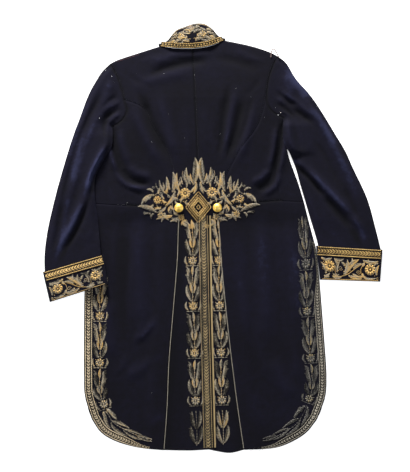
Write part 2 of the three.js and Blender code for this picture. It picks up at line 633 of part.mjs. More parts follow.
// Collar: a flattened standing collar, open under the chin, its back half over the neck seam
const COLLAR_RIM = [[-131, 484], [-113, 491], [-90, 517], [-66, 527], [-42, 534.5], [-18, 533], [2, 520],
  [16, 504], [31, 497]];
const COLLAR_HEIGHT = 50;
const COLLAR_CLEAR = 0.6;
function collar() {
  const rim = new THREE.CatmullRomCurve3(COLLAR_RIM.map(([x, y]) => new THREE.Vector3(x, y, 0)), false,
    "centripetal").getSpacedPoints(14);
  const neck = edge(["neckLeft", 7], ["neckRight", 7]);
  const underLeft = along("frontNeckLeft", 5).slice(1);
  const underRight = along("frontNeckRight", 5).slice(1);
  const rows = 5;
  const ring = [];
  const addColumn = (foot, head, low) => ring.push({ foot, head, low });
  const raised = (point) => point.clone().add(new THREE.Vector3(0, COLLAR_HEIGHT, 0));
  const closing = (index) => 0.95 * (index / (underLeft.length - 1)) ** 0.7;
  const middle = new THREE.Vector3(-42, 392, 0);
  [...underLeft].reverse().forEach((foot, index) => {
    const start = index === 0 ? foot.clone().setX(middle.x - 0.6) : foot;
    addColumn(start, raised(start).lerp(rim[0], closing(index)), FLOOR);
  });
  neck.forEach((foot, index) => addColumn(foot, rim[index], null));
  underRight.forEach((foot, index) => {
    const last = index === underRight.length - 1;
    const start = last ? foot.clone().setX(middle.x + 0.6) : foot;
    addColumn(start, raised(start).lerp(rim[14], closing(underRight.length - 1 - index)), FLOOR);
  });
  const first = underLeft.length;
  const lastTop = first + neck.length - 1;
  const build = (offset) => {
    const grid = [];
    for (let i = 0; i < rows; i += 1) {
      const v = i / (rows - 1);
      grid.push(ring.map(({ foot, head, low }, j) => {
        const clear = low === null ? COLLAR_CLEAR : 2 * COLLAR_CLEAR;
        const start = foot.clone().add(head.clone().sub(foot).setLength(clear));
        const point = start.lerp(head, v);
        if (low !== null) return point.setZ(low - offset);
        const end = Math.min(j - first, lastTop - j) / 7;
        const bulge = 7 * Math.sin(Math.PI * Math.min(1, 0.25 + 0.6 * v)) * smooth(0, 0.5, end);
        const height = Math.max(OVER + 0.6, bodyMid(foot.x, foot.y)) + bulge;
        if (end === 0) {
          const sign = j === first ? -1 : 1;
          return point.setX(point.x + sign * (offset + 1.2)).setZ((FLOOR + height) / 2);
        }
        return point.setZ(height + offset);
      }));
    }
    return grid;
  };
  return closedWall(build(WALL / 2), build(-WALL / 2));
}

for (const side of ["Left", "Right"]) {
  const suffix = side.toLowerCase();
  piece(`front_${suffix}`, frontPanel(side), "wool");
  piece(`back_${suffix}`, backPanel(side), "wool");
  piece(`side_${suffix}`, sidePanel(side), "wool");
  piece(`skirt_${suffix}`, skirtPanel(side), "wool");
  piece(`undersleeve_${suffix}`, sleevePanel(side, "low"), "wool");
  piece(`topsleeve_${suffix}`, sleevePanel(side, "top"), "wool");
  piece(`cuff_${suffix}`, cuff(side), "wool");
  piece(`braid_cuff_${suffix}`, cuffBraid(side), "gold");
}
piece("collar", collar(), "wool");

// Braid along the skirts' edges. It starts below the cuff on the left and below the rolled edge on the right.
const EDGE_INSET = 2.5;
const onFloor = () => WALL;
const leftEdge = edge(["skirtEdgeLeft", 16], ["hemLeft", 10]).slice(3, -3);
piece("braid_skirt_left", borderStrip(leftEdge, EDGE_INSET, EDGE_INSET + BRAID_WIDTH.left, onFloor), "gold");
const rightEdge = edge(["skirtEdgeRight", 16], ["hemRight", 10]).slice(3, -5);
piece("braid_skirt_right", borderStrip(rightEdge, -EDGE_INSET, -EDGE_INSET - BRAID_WIDTH.right, onFloor), "tarnish");

// Braid and cord down the two edges of the vent, from just below the waist
const VENT_STEPS = 16;
const ventLine = along("vent", VENT_STEPS).slice(2);
ventLine[ventLine.length - 1].lerp(ventLine[ventLine.length - 2], 0.1);
const ventTop = (side) => (x, y) => tailMid(side, x, y) + WALL / 2;
const VENT_INSET = 1.5;
piece("braid_vent_left",
  borderStrip(ventLine, -VENT_INSET, -VENT_INSET - BRAID_WIDTH.vent, ventTop("Left")), "gold");
piece("braid_vent_right", borderStrip(ventLine, VENT_INSET, VENT_INSET + BRAID_WIDTH.ventCord, ventTop("Right")),
  "gold");

// Gilt buttons at the tops of the pleats, on the highest cloth beneath each
const BUTTON_PLACES = { Left: [-82.75, 75], Right: [13.25, 75.75] };
function button(side) {
  const { radius, height } = BUTTON;
  const profile = [[0, 0], [radius * 0.9, 0], [radius, height * 0.22], [radius * 0.97, height * 0.4],
    [radius * 0.8, height * 0.66], [radius * 0.5, height * 0.9], [0, height]];
  const geometry = new THREE.LatheGeometry(profile.map(([r, z]) => new THREE.Vector2(r, z)), 20);
  geometry.rotateX(Math.PI / 2);
  geometry.deleteAttribute("normal");
  geometry.deleteAttribute("uv");
  const [x, y] = BUTTON_PLACES[side];
  let high = 0;
  for (let turn = 0; turn < 16; turn += 1) {
    const angle = (turn * Math.PI) / 8;
    for (const reach of [0, radius / 2, radius]) {
      const [px, py] = [x + reach * Math.cos(angle), y + reach * Math.sin(angle)];
      high = Math.max(high, bodyMid(px, py), tailMid(side, px, py), skirtMid(side, px, py));
    }
  }
  const mesh = piece(`button_${side.toLowerCase()}`, mergeVertices(geometry, 1e-4), "gilt");
  mesh.position.set(x, y, high + WALL / 2 + 2 * GAP);
}

// Gold cord down each pleat edge, lying on the tail against the skirt's fold
function piping(side) {
  const sign = side === "Left" ? 1 : -1;
  const points = along(`pleat${side}`, 20).slice(1).map((point) => {
    const x = point.x + sign * (CORD_RADIUS + 2 * GAP);
    const z = tailMid(side, x, point.y) + WALL / 2 + 2 * GAP + CORD_RADIUS;
    return new THREE.Vector3(x, point.y, z);
  });
  points[points.length - 1].lerp(points[points.length - 2], 0.1);
  piece(`piping_${side.toLowerCase()}`, cord(points, CORD_RADIUS, 6), "gold");
}
for (const side of ["Left", "Right"]) {
  button(side);
  piping(side);
}

// Cord loop sewn at the right shoulder, its bend past the shoulder seam
const LOOP_RADIUS = 0.8;
const LOOP_PATH = [[147, 451], [149, 463], [155, 471], [161, 468], [160, 458], [156, 448]];
const loopHeight = bodyMid(...LOOP_PATH[0]) + WALL / 2 + 2 * GAP + LOOP_RADIUS;
const loopPoints = LOOP_PATH.map(([x, y]) => new THREE.Vector3(x, y, loopHeight));
piece("shoulder_loop", cord(loopPoints, LOOP_RADIUS, 6), "tarnish");

coat.position.set(-BALANCE.x, -BALANCE.y, 0);

export default coat;
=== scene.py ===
# A man's embroidered wool court coat, laid flat on its front with its back up.
# Lengths are millimetres on the coat's own plan, with y towards the collar, until place() makes them metres.
import math

import bmesh
import bpy
import numpy as np
from mathutils import Matrix, Vector
from mathutils.bvhtree import BVHTree


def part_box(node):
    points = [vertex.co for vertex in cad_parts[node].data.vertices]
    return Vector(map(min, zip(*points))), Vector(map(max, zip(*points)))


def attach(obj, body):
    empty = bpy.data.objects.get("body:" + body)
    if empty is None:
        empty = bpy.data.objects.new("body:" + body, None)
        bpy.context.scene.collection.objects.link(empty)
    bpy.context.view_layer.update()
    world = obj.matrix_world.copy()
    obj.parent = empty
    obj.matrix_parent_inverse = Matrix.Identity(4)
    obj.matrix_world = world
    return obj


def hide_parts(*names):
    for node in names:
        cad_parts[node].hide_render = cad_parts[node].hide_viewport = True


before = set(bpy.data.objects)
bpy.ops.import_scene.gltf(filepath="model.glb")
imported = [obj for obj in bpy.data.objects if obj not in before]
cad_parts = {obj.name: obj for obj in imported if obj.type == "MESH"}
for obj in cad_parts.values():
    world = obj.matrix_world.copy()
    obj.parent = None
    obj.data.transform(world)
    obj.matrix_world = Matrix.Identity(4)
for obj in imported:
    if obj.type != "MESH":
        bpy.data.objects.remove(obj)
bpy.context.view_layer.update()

# ---- The table, the camera over it and the studio lamps ----
# The coat lies on a wide sheet of white acrylic that is lit from below, so it casts no shadow. The lamps are
# soft, and the strongest one stands low beyond the collar, so that each fold has a lit and a shaded side.
MM = 0.001
PICTURE = {"middle": (-17.5, 5), "height": 1180, "distance": 3400}
BUTTON_PLACES = {"left": (-82.75, 75), "right": (13.25, 75.75)}

low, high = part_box("button_left")
PLAN_SHIFT = (low + high) / 2 - Vector((*BUTTON_PLACES["left"], 0)) * MM


def place(x, y, z=0.0):
    """A point of the coat's plan, in the frame's metres."""
    return Vector((x * MM + PLAN_SHIFT.x, y * MM + PLAN_SHIFT.y, z * MM))


camera = bpy.data.objects.new("camera", bpy.data.cameras.new("camera"))
bpy.context.scene.collection.objects.link(camera)
camera.location = place(*PICTURE["middle"], PICTURE["distance"])
camera.data.sensor_fit = "VERTICAL"
camera.data.lens = camera.data.sensor_height * PICTURE["distance"] / PICTURE["height"]
bpy.context.scene.camera = camera
bpy.context.scene.view_settings.view_transform = "Standard"


def lamp(name, at, energy, size, tint):
    """A soft square lamp, at metres from the coat's middle, turned towards it."""
    data = bpy.data.lights.new(name, "AREA")
    data.energy, data.size, data.color = energy, size, tint
    made = bpy.data.objects.new(name, data)
    bpy.context.scene.collection.objects.link(made)
    made.location = at
    made.rotation_euler = (-Vector(at)).to_track_quat("-Z", "Y").to_euler()


lamp("key lamp", (-0.8, 3.5, 1.15), 430, 0.7, (1.0, 0.98, 0.95))
lamp("fill lamp", (2.6, -1.0, 2.4), 38, 2.0, (0.93, 0.96, 1.0))
lamp("far lamp", (-2.8, -0.8, 2.2), 36, 2.0, (0.96, 0.98, 1.0))


def colour(code):
    """An sRGB hex colour as linear red, green, blue and alpha."""
    parts = [int(code[i : i + 2], 16) / 255 for i in (1, 3, 5)]
    return (*[p / 12.92 if p <= 0.04045 else ((p + 0.055) / 1.055) ** 2.4 for p in parts], 1.0)


def add_node(material, kind, inputs=None, stops=(), **settings):
    """Adds one node: its settings, a ramp's stops of place and colour, and its inputs, set or linked."""
    made = material.node_tree.nodes.new(kind)
    for key, value in settings.items():
        setattr(made, key, value)
    for _ in stops[2:]:
        made.color_ramp.elements.new(0.5)
    for (at, code), element in zip(stops, made.color_ramp.elements if stops else ()):
        element.position, element.color = at, colour(code)
    for key, value in (inputs or {}).items():
        if isinstance(value, bpy.types.NodeSocket):
            material.node_tree.links.new(value, made.inputs[key])
        else:
            made.inputs[key].default_value = value
    return made


def new_material(name):
    """An empty node material, and its object coordinates, which are metres."""
    material = bpy.data.materials.new(name)
    material.use_nodes = True
    material.node_tree.nodes.clear()
    return material, add_node(material, "ShaderNodeTexCoord").outputs["Object"]


def scale_of(size):
    """A texture's scale, from the size of its grain in millimetres."""
    return 1 / (size * MM)


world = bpy.data.worlds.new("studio")
bpy.context.scene.world = world
world.use_nodes = True
world.node_tree.nodes["Background"].inputs["Color"].default_value = colour("#f3f6fa")
world.node_tree.nodes["Background"].inputs["Strength"].default_value = 0.32

# Opal acrylic: a dull white plastic that glows evenly, so that the sheet looks blank.
table_paint, table_at = new_material("opal acrylic sheet, lit from below")
table_grain = add_node(table_paint, "ShaderNodeTexNoise",
                       {"Vector": table_at, "Scale": scale_of(333), "Detail": 3.0})
table_tone = add_node(table_paint, "ShaderNodeValToRGB", {"Fac": table_grain.outputs["Fac"]},
                      [(0.3, "#d8d7d5"), (0.7, "#dcdcdb")])
table_shader = add_node(table_paint, "ShaderNodeBsdfPrincipled", {
    "Base Color": table_tone.outputs["Color"], "Roughness": 0.6, "Emission Color": colour("#ffffff"),
    "Emission Strength": 0.7})
add_node(table_paint, "ShaderNodeOutputMaterial", {"Surface": table_shader.outputs["BSDF"]})
TABLE_HALF = 4.0  # metres
bm = bmesh.new()
bmesh.ops.create_grid(bm, x_segments=1, y_segments=1, size=TABLE_HALF)
table_mesh = bpy.data.meshes.new("table")
bm.to_mesh(table_mesh)
bm.free()
table_mesh.materials.append(table_paint)
table = bpy.data.objects.new("table", table_mesh)
bpy.context.scene.collection.objects.link(table)

# ---- Back panels, each cut in one with its tail ----
# Dark blue-black broadcloth with interlining and lining, 2.4 mm in all. The two panels are joined down the
# centre back and are open below the waist, where the left tail laps over the right one.
WALL = 2.4
GAP = 0.3
FLOOR = WALL / 2  # the middle of the wall, for cloth on the table
OVER = FLOOR + WALL + GAP  # and for cloth on one layer of it
LAP = WALL + 3 * GAP
WAIST = 78
CENTRE = -34  # the centre back, across the coat
BACK_HALF = 225  # from there to the armholes
FINE = 5.2  # spacing of a panel's points
TURN = 24  # width of a pleat's turned-under edge
SEAM = (1.1, 2.2)  # how deep a seam is drawn down, and the half width of its groove
FREE_EDGE = (0.7, 1.8)  # the same for an edge that is only hemmed
SAME = 1e-6  # metres within which points are one
LINES = {
    "neck_left": [(-130, 478), (-90, 473), (-48, 472)],
    "neck_right": [(-48, 472), (-8, 478), (30, 493)],
    "shoulder_left": [(-130, 478), (-190, 459), (-238, 443), (-254, 435)],
    "shoulder_right": [(30, 493), (100, 478), (145, 463), (163, 454)],
    "armhole_left": [(-254, 435), (-232, 392), (-219, 345)],
    "armhole_right": [(163, 454), (144, 408), (136, 365)],
    "side_back_left": [(-219, 345), (-173, 325), (-148, 278), (-111, 215), (-92, 145), (-83, 78)],
    "side_back_right": [(136, 365), (128, 322), (112, 278), (70, 220), (32, 145), (13, 78)],
    "centre_upper": [(-48, 472), (-45, 410), (-42, 345)],
    "centre_lower": [(-42, 345), (-36, 200), (-35, 84)],
    "pleat_left": [(-83, 78), (-86, 12), (-88, -50), (-98, -175), (-109, -310), (-114, -428), (-121.5, -530)],
    "pleat_right": [(13, 78), (20, 12), (24, -50), (36, -175), (52, -316), (65, -418), (81, -529)],
    "vent_top": [(-35, 84), (-30, 72), (-9, 58)],
    "vent": [(-9, 58), (-7, -60), (-5, -180), (0, -380), (3.75, -527.5)],
    "vent_under": [(-35, 84), (-34, 40), (-32, -200), (-26, -524)],
    "tail_hem_left": [(-121.5, -530), (-65, -531), (3.75, -527.5)],
    "tail_hem_right": [(-26, -524), (8, -532), (45, -537), (81, -529)],
}
# how far the back swells above the fronts, by distance up the coat
CROWN = [(40, 0), (84, 3.2), (150, 5), (240, 8), (350, 9), (430, 6), (485, 3)]
# folds: an arc through three points, then the rise, up for a ridge and down for a trough, and its half width
BODY_FOLDS = [
    ((-250, 276), (-241, 222), (-226, 172), -6, 7), ((-226, 172), (-204, 146), (-158, 134), -6, 7),
    ((-262, 268), (-254, 214), (-239, 162), 4.5, 7), ((-239, 162), (-214, 133), (-164, 121), 4.5, 7),
    ((-230, 272), (-222, 222), (-206, 182), 3.4, 9), ((-206, 182), (-190, 164), (-150, 152), 3, 9),
    ((175, 285), (168, 225), (157, 165), -6, 7), ((157, 165), (146, 142), (112, 118), -5.5, 7),
    ((160, 278), (153, 218), (142, 172), 4, 8), ((142, 172), (130, 156), (98, 136), 3.6, 8),
    ((186, 270), (181, 222), (170, 162), 4.5, 7), ((170, 162), (158, 130), (126, 106), 3.4, 7),
    ((-172, 356), (-150, 285), (-108, 198), -4, 10), ((-200, 330), (-176, 270), (-128, 180), 3.2, 12),
    ((-134, 350), (-114, 280), (-88, 200), 2.6, 12), ((41, 372), (28, 290), (18, 205), -4, 8),
    ((58, 366), (45, 290), (30, 210), 2.6, 8), ((75, 345), (61, 270), (40, 200), -4.4, 9),
    ((106, 336), (92, 270), (66, 190), 3.2, 11), ((-162, 404), (-90, 430), (-10, 443), -3.8, 10),
    ((-160, 434), (-90, 454), (0, 461), 2.8, 10), ((-190, 380), (-120, 402), (-50, 414), 2, 14),
    ((10, 452), (60, 440), (120, 420), -2, 12),
]
BODY_CREASES = [
    ((-190, 372), (-172, 335), (-150, 300), -1.2, 6), ((-152, 372), (-135, 320), (-112, 262), -0.9, 6),
    ((28, 352), (14, 282), (4, 222), -0.9, 6), ((98, 352), (86, 292), (60, 226), -1.3, 6),
    ((120, 402), (104, 374), (80, 352), -1.0, 7), ((-206, 402), (-180, 388), (-150, 380), -1.0, 7),
    ((-140, 452), (-80, 446), (-20, 456), -0.9, 6), ((-236, 190), (-226, 150), (-200, 118), -1.6, 6),
    ((162, 214), (154, 168), (134, 136), -1.6, 6), ((-196, 122), (-170, 106), (-140, 100), -0.9, 6),
    ((146, 130), (124, 112), (96, 106), -0.9, 6), ((-258, 236), (-252, 190), (-246, 150), -1.0, 5),
    ((182, 262), (180, 216), (176, 170), -1.0, 5), ((-70, 330), (-62, 260), (-58, 200), 0.9, 9),
    ((-20, 330), (-18, 260), (-20, 210), 0.8, 9), ((-100, 452), (-60, 458), (-20, 462), -1.0, 5),
    ((-180, 440), (-150, 448), (-116, 458), 0.9, 7), ((60, 470), (90, 452), (130, 440), 1.0, 8),
]


def smooth(start, end, value):
    """0 at start and 1 at end with soft ends, whichever of them is larger."""
    share = np.clip((np.asarray(value, float) - start) / (end - start), 0, 1)
    return share * share * (3 - 2 * share)


def run_of(points):
    """The length along a line of points, at each of them."""
    return np.concatenate([[0], np.cumsum(np.linalg.norm(np.diff(points, axis=0), axis=1))])


def heading(points):
    """The way a line of points runs, at each of them, one unit long."""
    ahead = np.gradient(points, axis=0)
    return ahead / np.linalg.norm(ahead, axis=1)[:, None]


def through(points, count):
    """count points, evenly spaced, along a smooth curve (centripetal Catmull-Rom) through the given ones."""
    p = np.array(points, float)
    p = np.vstack([2 * p[0] - p[1], p, 2 * p[-1] - p[-2]])
    parts = []
    for a, b, c, d in zip(p, p[1:], p[2:], p[3:]):
        k0, k1, k2 = (max(np.linalg.norm(v) ** 0.5, 1e-4) for v in (b - a, c - b, d - c))
        leave = ((b - a) / k0 - (c - a) / (k0 + k1) + (c - b) / k1) * k1
        reach = ((c - b) / k1 - (d - b) / (k1 + k2) + (d - c) / k2) * k1
        t = np.linspace(0, 1, 24, endpoint=False)[:, None]
        parts.append(b + leave * t + (3 * (c - b) - 2 * leave - reach) * t**2
                     + (2 * (b - c) + leave + reach) * t**3)
    curve = np.vstack([*parts, p[-2]])
    length = run_of(curve)
    even = np.linspace(0, length[-1], count)
    return np.column_stack([np.interp(even, length, curve[:, k]) for k in range(p.shape[1])])


def edge(*runs):
    """Seam lines end to end, from pairs of a line's name and its number of steps."""
    parts = [through(LINES[name], steps + 1) for name, steps in runs]
    return np.vstack([parts[0], *[part[1:] for part in parts[1:]]])


def off_line(name, x, y):
    """How far points are from a seam line, in the plan."""
    x, y = np.asarray(x, float), np.asarray(y, float)
    least = np.full(x.shape, np.inf)
    for px, py in through(LINES[name], 90):
        least = np.minimum(least, np.hypot(x - px, y - py))
    return least


def folds(rows, x, y):
    """The rise of a table of folds at points of the plan: soft bells round arcs, that fade at the ends."""
    total = np.zeros(np.shape(x))
    for start, by, end, rise, spread in rows:
        least, share = np.full(total.shape, np.inf), np.zeros(total.shape)
        path = through([start, by, end], 33)
        for index, (px, py) in enumerate(path):
            distance = np.hypot(x - px, y - py)
            share = np.where(distance < least, index / (len(path) - 1), share)
            least = np.minimum(least, distance)
        fade = np.minimum(1, 4 * share + 0.15) * np.minimum(1, 4 * (1 - share) + 0.15)
        total += rise * fade * np.exp(-((least / spread) ** 2))
    return total


def body_middle(x, y):
    """The middle of the back's wall, before any lap."""
    across = np.minimum(1, np.abs(x - CENTRE) / BACK_HALF)
    swell = np.interp(y, *zip(*CROWN)) * (1 - across**4)
    relief = folds(BODY_FOLDS, x, y) + folds(BODY_CREASES, x, y)
    return FLOOR + (OVER - FLOOR) * smooth(20, WAIST, y) + np.maximum(0, swell + relief * smooth(60, 110, y))


def plan(left, right, top, bottom, rows, borders=(1.2, 3, 6)):
    """Plan points of a panel between its four edges (a Coons patch), closer together beside its edges."""

    def at(points, share):
        where = np.clip(share, 0, 1) * (len(points) - 1)
        return np.column_stack([np.interp(where, np.arange(len(points)), points[:, k]) for k in (0, 1)])

    length = run_of(left)[-1]
    down = np.array([0, *[b / length for b in borders]])
    down = np.concatenate([down, np.linspace(down[-1], 1 - down[-1], rows)[1:-1], 1 - down[::-1]])
    widest = max(np.linalg.norm(a - b) for a, b in zip(at(left, down), at(right, down)))
    columns = max(4, round(widest / FINE))
    grid = []
    for v in down:
        one, other = at(left, [v])[0], at(right, [v])[0]
        width = max(4.0, np.linalg.norm(one - other))
        near = np.minimum([0, *[b / width for b in borders]], 0.1 * np.arange(len(borders) + 1))
        u = np.concatenate([near, np.linspace(near[-1], 1 - near[-1], columns)[1:-1], 1 - near[::-1]])
        u = u[:, None]
        ends = at(top, u[:, 0]) * (1 - v) + at(bottom, u[:, 0]) * v
        corners = (left[0] * (1 - u) + right[0] * u) * (1 - v) + (left[-1] * (1 - u) + right[-1] * u) * v
        grid.append(one * (1 - u) + other * u + ends - corners)
    return np.array(grid)


def sewn(grid, middle, seams, wall=WALL, free=()):
    """The upper face of a panel, drawn down along its seams and at its free edges."""
    x, y = grid[..., 0], grid[..., 1]
    z = middle(x, y) + wall / 2
    for name, (depth, spread) in [*((name, SEAM) for name in seams), *((name, FREE_EDGE) for name in free)]:
        z = z - depth * np.exp(-((off_line(name, x, y) / spread) ** 2))
    return np.dstack([x, y, z])


def tidy(made, bm, material, node=None, sharp=50):
    """Makes a finished bmesh an object that rides on the coat, in place of the plain solid named, if any."""
    mesh = bpy.data.meshes.new(made)
    bm.to_mesh(mesh)
    bm.free()
    mesh.shade_smooth()
    mesh.set_sharp_from_angle(angle=math.radians(sharp))
    mesh.materials.append(material)
    piece = bpy.data.objects.new(made, mesh)
    bpy.context.scene.collection.objects.link(piece)
    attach(piece, "root")
    if node:
        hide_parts(node)
    return piece


def gridded(points, form="flat"):
    """A bmesh grid moved to rows of points, facing up. One that goes round is joined and faces outwards."""
    rows, columns = points.shape[:2]
    bm = bmesh.new()
    bmesh.ops.create_grid(bm, x_segments=columns - 1, y_segments=rows - 1, size=0.5)
    for vertex, point in zip(bm.verts, points.reshape(-1, 3)):
        vertex.co = place(*point)
    if form == "ring":
        bmesh.ops.remove_doubles(bm, verts=bm.verts[:], dist=SAME)
    bm.normal_update()
    middle = sum((v.co for v in bm.verts), Vector()) / len(bm.verts)
    if form == "flat":
        middle.z -= 1.0
    if sum(f.calc_area() * f.normal.dot(f.calc_center_median() - middle) for f in bm.faces) < 0:
        bmesh.ops.reverse_faces(bm, faces=bm.faces[:])
    return bm


# where the nap is drawn lighter and bluer: an arc through three points, how much, and its half width
LIGHTER_BLUE_PLACES = [
    ((-262, 405), (-298, 345), (-322, 280), 0.14, 20), ((-318, 285), (-344, 205), (-356, 120), 0.3, 13),
    ((-356, 120), (-364, 60), (-384, -10), 0.2, 11), ((-262, 215), (-296, 165), (-314, 110), 0.16, 10),
    ((182, 428), (218, 384), (248, 340), 0.4, 15), ((248, 340), (284, 280), (310, 220), 0.24, 12),
    ((310, 220), (342, 150), (372, 80), 0.2, 12), ((196, 300), (214, 262), (222, 220), 0.2, 10),
    ((-160, 405), (-60, 420), (50, 430), 0.07, 40), ((-150, 380), (-120, 300), (-80, 220), 0.06, 26),
    ((60, 390), (50, 300), (20, 220), 0.06, 24), ((-282, 20), (-286, -120), (-280, -260), 0.05, 30),
    ((-210, -335), (-185, -310), (-160, -335), 0.08, 5),
    ((-160, -335), (-185, -360), (-210, -335), 0.08, 5),
]
# seams along whose grooves the cloth is painted darker, as shadow
PAINTED_SHADOW_SEAMS = ("armhole_left", "armhole_right", "underarm_left", "underarm_right", "waist_left", "waist_right",
              "centre_upper", "centre_lower")


def tone_and_painted_light_at(x, y, relief):
    """How light the nap is drawn: lighter and bluer along its listed places, lighter on ridges as painted
    light, and darker in troughs and along some seams as painted shade.
    """
    seams = sum(np.exp(-((off_line(name, x, y) / 3) ** 2)) for name in LINES if name in PAINTED_SHADOW_SEAMS)
    # fold height gives painted light on ridges and painted shade in troughs; the seam term is painted shadow
    return np.clip(0.2 + 0.065 * relief(x, y) + folds(LIGHTER_BLUE_PLACES, x, y) - 0.3 * seams, 0, 1)


def body_relief(x, y):
    return folds(BODY_FOLDS, x, y) + folds(BODY_CREASES, x, y)


def cloth(name, sheets, wall, form="flat", relief=body_relief):
    """One piece of cloth from the points of its upper or outer face, given its thickness inwards."""
    whole = bmesh.new()
    for points in sheets:
        bm = gridded(points, form)
        bmesh.ops.solidify(bm, geom=bm.faces[:], thickness=wall * MM)
        for vertex in bm.verts:
            vertex.co.z = max(0.0, vertex.co.z)
        part = bpy.data.meshes.new("part")
        bm.to_mesh(part)
        bm.free()
        whole.from_mesh(part)
        bpy.data.meshes.remove(part)
    piece = tidy(name, whole, broadcloth, name.replace("_cloth", ""))
    # Each point's tone: lighter and bluer in listed places, with painted light on ridges, painted shade in
    # troughs and painted shadow along some seams.
    at = np.empty(len(piece.data.vertices) * 3)
    piece.data.vertices.foreach_get("co", at)
    x, y = ((at.reshape(-1, 3)[:, k] - PLAN_SHIFT[k]) / MM for k in (0, 1))
    piece.data.attributes.new("cloth_tone_and_painted_light", "FLOAT", "POINT").data.foreach_set("value", tone_and_painted_light_at(x, y, relief))


# Wool broadcloth, woven, fulled and shorn until no thread shows. Its colour is painted near black in the
# troughs and along some seams as shade, lighter on the ridges as painted light, and a dull blue in listed
# places. The real nap is finer than a tenth of a millimetre, so it is drawn coarser.
broadcloth, cloth_at = new_material("fulled wool broadcloth")
patches = add_node(broadcloth, "ShaderNodeTexNoise",
                   {"Vector": cloth_at, "Scale": scale_of(167), "Detail": 3.0})
nap = add_node(broadcloth, "ShaderNodeTexNoise", {"Vector": cloth_at, "Scale": scale_of(1.11), "Detail": 3.0})
streaks = add_node(broadcloth, "ShaderNodeTexNoise",
                   {"Vector": cloth_at, "Scale": scale_of(14.3), "Detail": 8.0, "Roughness": 0.7})
cloth_tone_and_painted_light = add_node(broadcloth, "ShaderNodeAttribute", attribute_name="cloth_tone_and_painted_light")
mottle = add_node(broadcloth, "ShaderNodeMath", {0: patches.outputs["Fac"], 1: streaks.outputs["Fac"]},
                  operation="MULTIPLY")
lowered_tone_and_painted_light = add_node(broadcloth, "ShaderNodeMath", {0: cloth_tone_and_painted_light.outputs["Fac"], 1: 1.0, 2: -0.05},
                       operation="MULTIPLY_ADD")
mottled_tone_and_painted_light = add_node(broadcloth, "ShaderNodeMath", {0: mottle.outputs[0], 1: 0.9, 2: lowered_tone_and_painted_light.outputs[0]},
                operation="MULTIPLY_ADD")
nap_bump = add_node(broadcloth, "ShaderNodeBump",
                    {"Strength": 0.5, "Distance": 0.0006, "Height": nap.outputs["Fac"]})
soft_bump = add_node(broadcloth, "ShaderNodeBump",
                     {"Strength": 0.35, "Distance": 0.002, "Height": streaks.outputs["Fac"],
                      "Normal": nap_bump.outputs["Normal"]})
# The ramp's darkest stops give the painted shade of troughs and seams, its lightest the painted light of
# ridges and the listed bluer places.
dye_and_painted_light = add_node(broadcloth, "ShaderNodeValToRGB", {"Fac": mottled_tone_and_painted_light.outputs[0]},
               [(0.0, "#020204"), (0.3, "#07060e"), (0.6, "#0d0c1b"), (1.0, "#272a44")])
cloth_shader = add_node(broadcloth, "ShaderNodeBsdfPrincipled", {
    "Base Color": dye_and_painted_light.outputs["Color"], "Roughness": 0.88, "Specular IOR Level": 0.12, "Sheen Weight": 0.06,
    "Sheen Roughness": 0.45, "Sheen Tint": colour("#8f97c0"), "Normal": soft_bump.outputs["Normal"]})
add_node(broadcloth, "ShaderNodeOutputMaterial", {"Surface": cloth_shader.outputs["BSDF"]})

for side in ("left", "right"):
    outer = edge((f"shoulder_{side}", 24), (f"armhole_{side}", 18), (f"side_back_{side}", 56),
                 (f"pleat_{side}", 100))
    centre = edge(("centre_upper", 42), ("centre_lower", 56))
    if side == "left":
        tail = edge(("vent_top", 12), ("vent", 88))
    else:
        tail = edge(("vent_under", 100))
    centre = np.vstack([centre, tail[1:]])
    neck, hem = edge((f"neck_{side}", 30)), edge((f"tail_hem_{side}", 30))
    first, last = (outer, centre) if side == "left" else (centre, outer)

    def tail_middle(x, y, side=side):
        """The left tail lies over the right one beside the vent."""
        lap = smooth(-74, -44, x) * smooth(112, 86, y) * LAP if side == "left" else 0
        return body_middle(x, y) + lap

    upper = sewn(plan(first, last, neck, hem, 190), tail_middle,
                 [f"side_back_{side}", "centre_upper", "centre_lower", f"shoulder_{side}", f"armhole_{side}"],
                 free=["vent" if side == "left" else "vent_under", f"tail_hem_{side}"])
    # Painted shade: the tails' cloth is drawn darker beside the pleats, where they lie under the skirts'
    # edges.
    cloth(f"back_{side}_cloth", [upper], WALL,
          relief=lambda x, y: body_relief(x, y) - 3 * np.exp(-((off_line(f"pleat_{side}", x, y) / 16) ** 2)))

# ---- Side bodies ----
# The same broadcloth, cut as curved wedges and sewn between the side-back seams and the underarm seams.
LINES |= {
    "underarm_left": [(-219, 345), (-213, 315), (-226, 292), (-248, 278)],
    "underarm_right": [(136, 365), (138, 335), (152, 314), (178, 300)],
    "side_left": [(-248, 278), (-240, 208), (-228, 158), (-216, 120), (-212, 82)],
    "side_right": [(178, 300), (169, 225), (160, 165), (166, 125), (172, 94)],
    "waist_left": [(-83, 78), (-150, 79), (-212, 82)],
    "waist_right": [(13, 78), (95, 87), (172, 94)],
}
for side in ("left", "right"):
    shape = plan(edge((f"side_back_{side}", 60)), edge((f"side_{side}", 60)), edge((f"underarm_{side}", 30)),
                 edge((f"waist_{side}", 30)), 56)
    seams = [f"side_back_{side}", f"side_{side}", f"underarm_{side}", f"waist_{side}"]
    cloth(f"side_{side}_cloth", [sewn(shape, body_middle, seams)], WALL)

# ---- Fronts ----
# The fronts lie face down beneath the back. At the coat's sides each one turns up round the flank, 5 mm high,
# and meets the side body at the underarm seam.
LINES |= {
    "flank_left": [(-248, 278), (-262, 245), (-278, 202), (-290, 165), (-297, 130), (-300, 88)],
    "flank_right": [(178, 300), (184, 245), (192, 202), (204, 168), (216, 135), (229, 92)],
    "front_shoulder_left": [(-254, 435), (-238, 443), (-190, 459), (-138, 475.5)],
    "front_shoulder_right": [(163, 454), (145, 463), (100, 478), (38, 491.5)],
    "front_neck_left": [(-138, 475.5), (-114, 425), (-45, 392)],
    "front_neck_right": [(38, 491.5), (12, 430), (-39, 392)],
    "front_edge_left": [(-45, 392), (-43, 84)],
    "front_edge_right": [(-39, 392), (-37, 84)],
}
FLANK_TURN = 16
FRONT_INSET = 7


